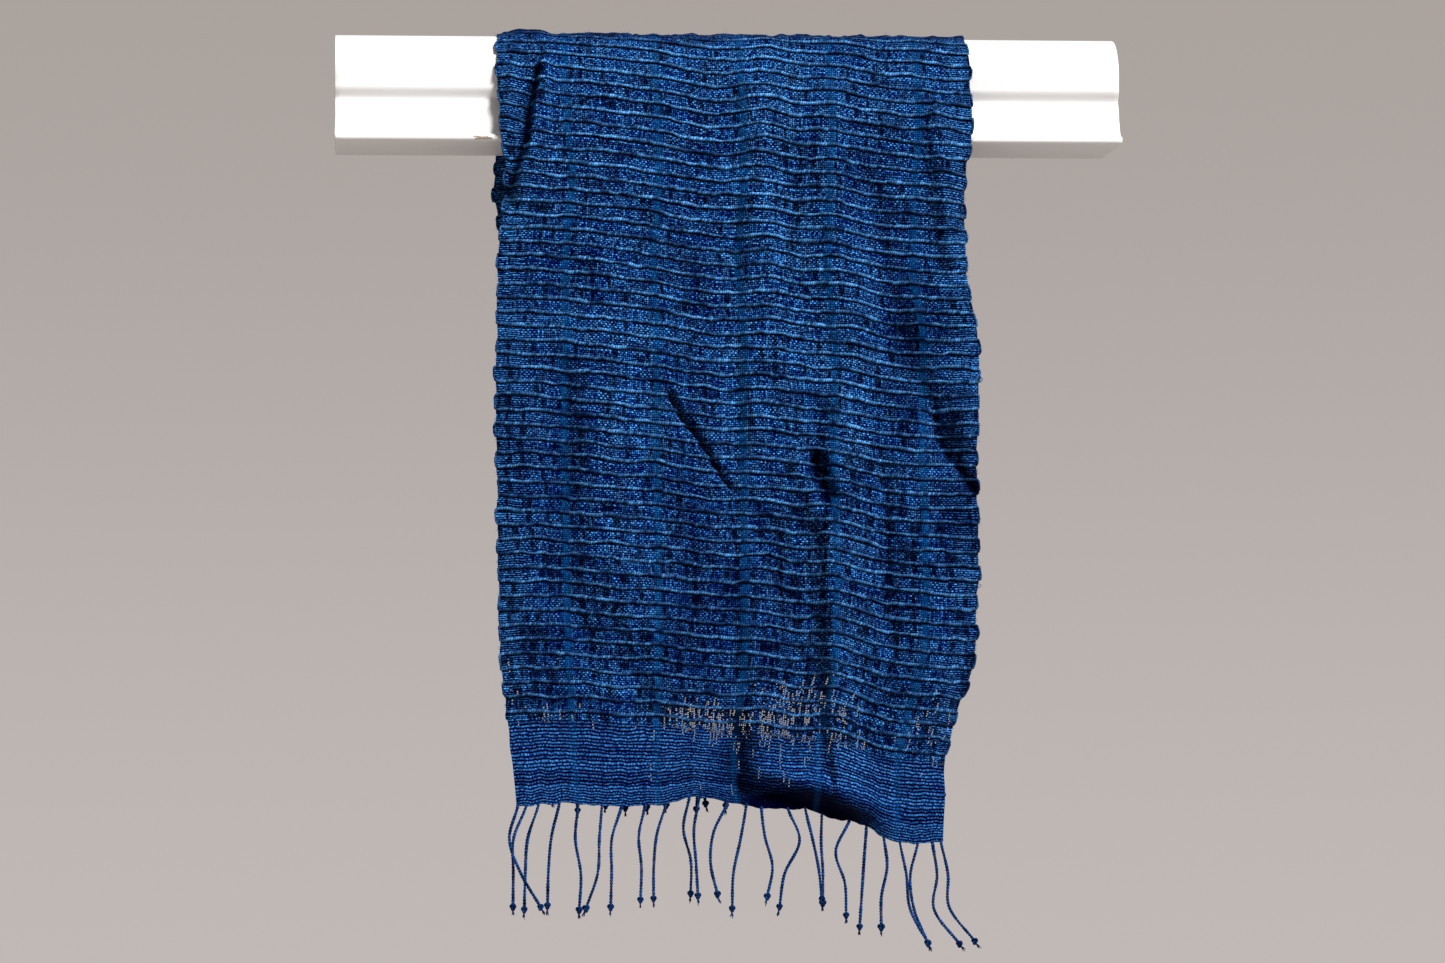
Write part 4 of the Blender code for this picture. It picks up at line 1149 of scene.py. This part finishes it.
def makeFuzz(seed):
    # short curved fibres that leave the cloth at an angle, and two loose loops at the right selvedge
    chance = np.random.default_rng(seed)
    count = fuzz["hairs"]
    kind = chance.uniform(0.0, 1.0, count)
    reach = cloth["frontCords"] * cloth["cordPitch"]
    share = chance.uniform(0.0, 1.0, count)
    distance = chance.uniform(-fuzz["backShare"] * reach, reach, count)
    edge = kind < fuzz["atSelvedges"]
    share = np.where(edge, np.round(share), share)
    distance = np.where(kind > 1.0 - fuzz["atCrown"], chance.normal(0.0, 0.006, count), distance)
    root = clothPlace(share, distance, 0.0, cloth["lift"])
    outward = unit(clothPlace(share, distance, 0.0, cloth["lift"] + 0.001) - root)
    sideways = np.zeros((count, 3))
    sideways[:, 0] = np.where(edge, np.sign(share - 0.5) * 1.6, chance.normal(0.0, 1.0, count))
    sideways[:, 2] = chance.normal(0.0, 0.8, count)
    heading = unit(outward * chance.uniform(0.2, 1.0, (count, 1)) + sideways)
    bend = chance.normal(0.0, 0.9, (count, 3))
    length = fuzz["length"] * chance.uniform(0.4, 1.5, (count, 1, 1))
    s = np.linspace(0.0, 1.0, fuzz["points"])[:, None]
    lines = root[:, None] + length * (heading[:, None] * s + bend[:, None] * s ** 2 * 0.6)
    yarns = Yarns()
    for number, line in enumerate(lines):
        yarns.lay(line, fuzz["radius"] * (1.0 - 0.5 * s[:, 0]), (0.11, 0.98, 0.13), 3, 0.003, number * 0.1,
                  fuzz["toneAndShade"])
    for where, wide, tall, radius in strayYarns:
        start = clothPlace(1.0, where, 0.0, cloth["lift"] + 0.0008)
        turn = np.linspace(-0.5 * math.pi, 1.15 * math.pi, 22)
        loop = np.column_stack([wide * (np.cos(turn) - 0.2), 0.0012 * np.sin(2 * turn),
                                tall * (np.sin(turn) + 1.0) * 0.5]) + start
        yarns.lay(loop, radius, (0.0, -1.0, 0.0), 5, fuzz["strayLength"], 0.9, fuzz["toneAndShade"])
    return yarns.make("fuzz", cordSilk, fuzz["strayLength"])


frontCords = cordRun("cordsFront", cloth["turnCords"] + 1, cloth["frontCords"], 51)
turnCords = cordRun("cordsOverRail", -cloth["turnCords"], cloth["turnCords"], 61)
backCords = cordRun("cordsBack", -cloth["backCords"], -cloth["turnCords"] - 1, 71)
strays = makeFuzz(97)
print("cords laid")

# front strands: across at the root, a third down, two thirds down and at the knot, the knot's depth below
# the rail's underside, and how far in front of the hem it swings
frontStrands = np.array([
    (-0.1510, -0.1570, -0.1490, -0.1350, 0.539, 0.005), (-0.1450, -0.1540, -0.1540, -0.1540, 0.539, 0.000),
    (-0.1365, -0.1440, -0.1455, -0.1460, 0.541, -0.004), (-0.1220, -0.1275, -0.1295, -0.1300, 0.538, 0.000),
    (-0.1090, -0.1110, -0.1070, -0.1080, 0.541, 0.002), (-0.0925, -0.0940, -0.0950, -0.1030, 0.540, -0.003),
    (-0.0785, -0.0855, -0.0855, -0.0860, 0.539, 0.001), (-0.0620, -0.0665, -0.0645, -0.0650, 0.534, -0.001),
    (-0.0475, -0.0540, -0.0560, -0.0560, 0.533, 0.002), (-0.0310, -0.0350, -0.0295, -0.0295, 0.530, -0.004),
    (-0.0240, -0.0280, -0.0265, -0.0250, 0.531, 0.003), (-0.0040, -0.0140, -0.0160, -0.0110, 0.530, 0.000),
    (0.0090, 0.0050, 0.0000, -0.0007, 0.540, 0.001), (0.0196, 0.0225, 0.0280, 0.0245, 0.532, -0.002),
    (0.0385, 0.0470, 0.0365, 0.0330, 0.539, 0.001), (0.0510, 0.0560, 0.0605, 0.0630, 0.534, 0.004),
    (0.0630, 0.0630, 0.0645, 0.0645, 0.537, -0.004), (0.0825, 0.0725, 0.0790, 0.0800, 0.545, 0.001),
    (0.0940, 0.0925, 0.0910, 0.0895, 0.553, -0.001), (0.1055, 0.1080, 0.1040, 0.1040, 0.553, 0.001),
    (0.1170, 0.1215, 0.1240, 0.1365, 0.564, 0.004), (0.1300, 0.1250, 0.1280, 0.1380, 0.565, -0.004),
    (0.1400, 0.1435, 0.1415, 0.1595, 0.565, 0.000), (0.1460, 0.1510, 0.1520, 0.1700, 0.563, 0.002),
])
frontStrands[:, 4] += cloth["askew"] * frontStrands[:, 0]
frontStrands[:, :4] += askewShift(np.array((-0.470, -0.494, -0.517, -0.540)))

fringe = {
    "plyRadius": 0.00068,
    "plyOffset": 0.00060,
    "twist": 0.0042,  # one full turn of the two plies
    "pointsPerTurn": 6,
    "plySides": 5,
    "rootIn": 0.0012,  # how far above the hem a strand starts
    "knotSize": 0.00078,
    "knotPly": 0.00092,
    "knotShape": (0.72, 1.1, 0.85),  # the trefoil's stretch along X, Y and Z
    "knotTone": 0.50,
    "tail": 0.0044,
    "tailHairs": 12,
    "hairRadius": 0.00048,
    "hairSpread": 0.10,
    "hairBend": 0.16,
    "tailTone": 0.6,
    "backKnotDown": 0.4712,
    "backSway": 0.0035,
    "mapLength": 0.12,
}


def strandPath(root, strand, outward, points):
    # a smooth curve through the root, the two bends and the knot (Catmull-Rom, evenly spaced)
    third, twoThirds, knotAcross, knotDown, forward = strand[1:]
    side = root[1] + outward * forward
    drop = root[2] + knotDown
    knots = np.array([
        root,
        (third, mix(root[1], side, 0.7), root[2] - drop / 3),
        (twoThirds, side, root[2] - drop * 2 / 3),
        (knotAcross, side, -knotDown),
    ])
    ends = np.vstack([2 * knots[0] - knots[1], knots, 2 * knots[-1] - knots[-2]])
    ends[0, 0] = mix(knots[0, 0], ends[0, 0], 0.4)
    t = np.linspace(0.0, 1.0, 14)[:-1, None]
    curve = []
    for k in range(1, len(ends) - 2):
        p0, p1, p2, p3 = ends[k - 1:k + 3]
        curve.append(0.5 * (2 * p1 + (p2 - p0) * t + (2 * p0 - 5 * p1 + 4 * p2 - p3) * t ** 2
                            + (3 * p1 - p0 - 3 * p2 + p3) * t ** 3))
    curve = np.vstack(curve + [knots[-1:]])
    reach = pathLengths(curve)
    even = np.linspace(0.0, reach[-1], points)
    return np.stack([np.interp(even, reach, curve[:, axis]) for axis in range(3)], axis=-1), even


def layPlies(yarns, path, even, outward, start, number, shade, seed):
    # two plies that wind round the strand's path, half a turn apart
    guide = (0.0, outward, 0.0)
    up, beside = pathSides(path, guide)
    for ply in range(2):
        angle = (even / fringe["twist"] * 2.0 * math.pi + math.pi * ply + start)[:, None]
        offset = fringe["plyOffset"] * (1.0 + 0.25 * latticeNoise(even / 0.006, float(number), seed))
        wound = path + (beside * np.cos(angle) + up * np.sin(angle)) * offset[:, None]
        radius = fringe["plyRadius"] * (1.0 + 0.22 * latticeNoise(even / 0.004, number + 0.5 * ply, seed))
        yarns.lay(wound, radius, guide, fringe["plySides"], even[-1], number * 2.0 + ply, shade)


def layKnot(yarns, centre, start, size, number, shade):
    # a small trefoil, open at its foot
    t = np.linspace(0.0, 2.0 * math.pi, 37)[:-1] + start
    trefoil = np.stack([np.sin(t) + 2.0 * np.sin(2 * t), -np.sin(3 * t), np.cos(t) - 2.0 * np.cos(2 * t)],
                       axis=-1) * fringe["knotShape"] * size
    trefoil = np.vstack([trefoil, trefoil[:1] + (0.0, 0.0, -size)])
    yarns.lay(centre + trefoil, fringe["knotPly"], (0.13, 0.97, 0.21), 6, 0.02, number + 0.3,
              fringe["knotTone"] * shade)


def layTail(yarns, path, chance, number, shade):
    # frayed ends that leave the knot along the strand, spread and bent at random
    lean = unit(path[-1] - path[-5])
    s = np.linspace(0.0, 1.0, 5)[:, None]
    for hair in range(fringe["tailHairs"]):
        spread = chance.normal(0.0, fringe["hairSpread"], 3)
        bend = chance.normal(0.0, fringe["hairBend"], 3)
        reach = fringe["tail"] * chance.uniform(0.75, 1.1)
        line = path[-1] + lean * 0.0012 + (lean + spread) * s * reach + bend * s ** 2 * reach * 0.5
        yarns.lay(line, fringe["hairRadius"] * (1.0 - 0.50 * s[:, 0]), (0.11, 0.98, 0.13), 3, reach,
                  number + 0.1, fringe["tailTone"] * shade)


def makeFringe(name, strands, edge, outward, shade, seed):
    # each strand is two plies, a knot and a frayed tail, rooted in the hem
    chance = np.random.default_rng(seed)
    yarns = Yarns()
    hem = clothPlace(np.linspace(0.0, 1.0, 401), edge * cloth["cordPitch"] / 2, 1.0, cloth["lift"])
    for number, strand in enumerate(strands):
        root = np.array([np.interp(strand[0], hem[:, 0], hem[:, axis]) for axis in range(3)])
        root[2] += fringe["rootIn"]
        straight = np.linalg.norm(root - (strand[3], root[1], -strand[4]))
        count = max(int(straight / fringe["twist"] * fringe["pointsPerTurn"]), 20)
        path, even = strandPath(root, strand, outward, count)
        start = chance.uniform(0.0, 6.28)
        layPlies(yarns, path, even, outward, start, number, shade, seed)
        layKnot(yarns, path[-1], start, fringe["knotSize"] * chance.uniform(0.9, 1.2), number, shade)
        layTail(yarns, path, chance, number, shade)
    return yarns.make(name, fringeSilk, fringe["mapLength"])


# back strands: across at the knot; six of the knots hang just below the front hem
backKnots = (
    -0.1500, -0.1420, -0.1290, -0.1109, -0.0909, -0.0765, -0.0610, -0.0470, -0.0250, -0.0185, -0.0040, 0.0100,
    0.0200, 0.0350, 0.0470, 0.0640, 0.0720, 0.0850, 0.0980, 0.1080, 0.1220, 0.1310, 0.1420, 0.1540,
)


def backStrandTable():
    # roots nearly over their knots, with a slow sway from one strand to the next
    knots = np.array(backKnots) + 0.0030
    count = np.arange(len(knots))
    sway = fringe["backSway"] * np.sin(1.9 * count)
    downs = fringe["backKnotDown"] + 0.0020 * np.sin(2.6 * count)
    downs = downs - 0.012 * ease((-0.118 - knots) / 0.020) - 0.006 * ease((knots + 0.012) / 0.030)
    forward = 0.002 * np.cos(2.3 * count)
    return np.stack([knots - sway * 0.4, knots + sway * 0.7, knots + sway, knots, downs, forward], axis=-1)


frontFringe = makeFringe("fringeFront", frontStrands, frontEdge, -1.0, 1.0, 81)
# the back fringe is drawn at half brightness: painted shade, as it hangs behind the cloth
backFringe = makeFringe("fringeBack", backStrandTable(), -backEdge, 1.0, 0.5, 91)
print("fringes twisted and knotted")

paint = {
    "colour": (0.80, 0.795, 0.79),
    "shade": (0.73, 0.71, 0.69),
    "bare": (0.30, 0.24, 0.18),
    "roughness": 0.34,
    "specular": 0.4,
    "chipsFrom": 0.665,  # the noise past which the paint is chipped
    "chipReach": 0.0022,  # how far from the lip's middle the chips go
}


def paintMaterial(values):
    # satin paint: faint clouds of tone, a brushed lie along the rail, and small chips along the lip
    material, tree, shader = newMaterial("whitePaint", values["roughness"], specular=values["specular"])
    x, y, z = vectorParts(addNode(tree, "TexCoord", None, "Object"))
    brushed = noise(420.0, x * 0.08, y, z)
    chip = noise(260.0, x * 0.22, y, z, 3.0) > values["chipsFrom"]
    chip = chip * (abs(z - railShape["lipRadius"]) < values["chipReach"])
    # the paint's own faint clouds of tone; no light or shade is painted here
    toneAndShade = ((noise(9.0, x, y, z, 3.0) - 0.42) * 0.7).held()
    base = blendColour(toneAndShade, values["colour"], values["shade"])
    feed(shader["Base Color"], blendColour(chip, base, values["bare"]))
    feed(shader["Roughness"], brushed * 0.14 + (values["roughness"] - 0.07))
    feed(shader["Normal"], bumpNormal(brushed - chip * 1.5, 0.25, 0.0002))
    return material


def railSection():
    # half of the section from the base round the lip, up the cove and softly out into the cap, then mirrored
    lipRadius, coveTop = railShape["lipRadius"], railShape["coveTop"]
    lipCentre = railShape["baseHalfWidth"] - lipRadius
    turn = np.radians(np.linspace(-90.0, 90.0, 13))
    lip = np.stack([lipCentre + lipRadius * np.cos(turn), lipRadius * (1 + np.sin(turn))], axis=-1)
    turn = np.radians(np.linspace(0.0, 90.0, 17))
    cove = np.stack([lipCentre - 0.001 - railShape["coveDepth"] * np.sin(turn),
                     coveTop - (coveTop - 2 * lipRadius) * np.cos(turn)], axis=-1)
    rise = np.linspace(0.0, 1.0, 13)[1:]
    swell = np.stack([mix(cove[-1, 0], railShape["capHalfWidth"], ease(rise)),
                      mix(coveTop, railShape["capSpring"], rise)], axis=-1)
    cap = np.stack(capPoint(np.radians(np.linspace(0.0, 90.0, 37)[1:])), axis=-1)
    half = np.vstack([lip, cove, swell, cap])
    # the cap draws in a little towards its foot
    half[:, 0] -= 0.0022 * ease((0.056 - half[:, 1]) / 0.016) * ease((half[:, 1] - 0.024) / 0.008)
    return np.vstack([half, half[-2::-1] * (-1.0, 1.0)])


def makeRail():
    # the section carried along X, drawn in a little at both ends so that their edges are round, and closed
    section = railSection()
    half, edge = railShape["length"] / 2, railShape["edgeRound"]
    nearEnd = np.array((0.0, 0.3, 1.0)) * edge
    inner = np.linspace(-half + 0.004, half - 0.004, 41)
    stations = np.concatenate([nearEnd - half, inner, half - nearEnd[::-1]])
    shrink = np.zeros(len(stations))
    shrink[[0, -1]] = edge
    shrink[[1, -2]] = edge * 0.3
    away = unit(section - (0.0, railShape["height"] * 0.45))
    points = np.empty((len(stations), len(section), 3))
    points[..., 0] = stations[:, None]
    points[..., 1:] = section[None] - away[None] * shrink[:, None, None]
    faces = tubeFaces(len(stations), len(section), 0)
    piece = addPiece("moulded_rail", points, faces, paintMaterial(paint))
    piece.data.set_sharp_from_angle(angle=math.radians(32.0))
    return piece


rail = makeRail()
print("rail moulded")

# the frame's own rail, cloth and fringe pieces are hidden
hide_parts("rail")
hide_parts("scarf_front")
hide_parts("scarf_over_rail")
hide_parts("scarf_back")
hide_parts("fringe_front")
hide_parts("fringe_back")
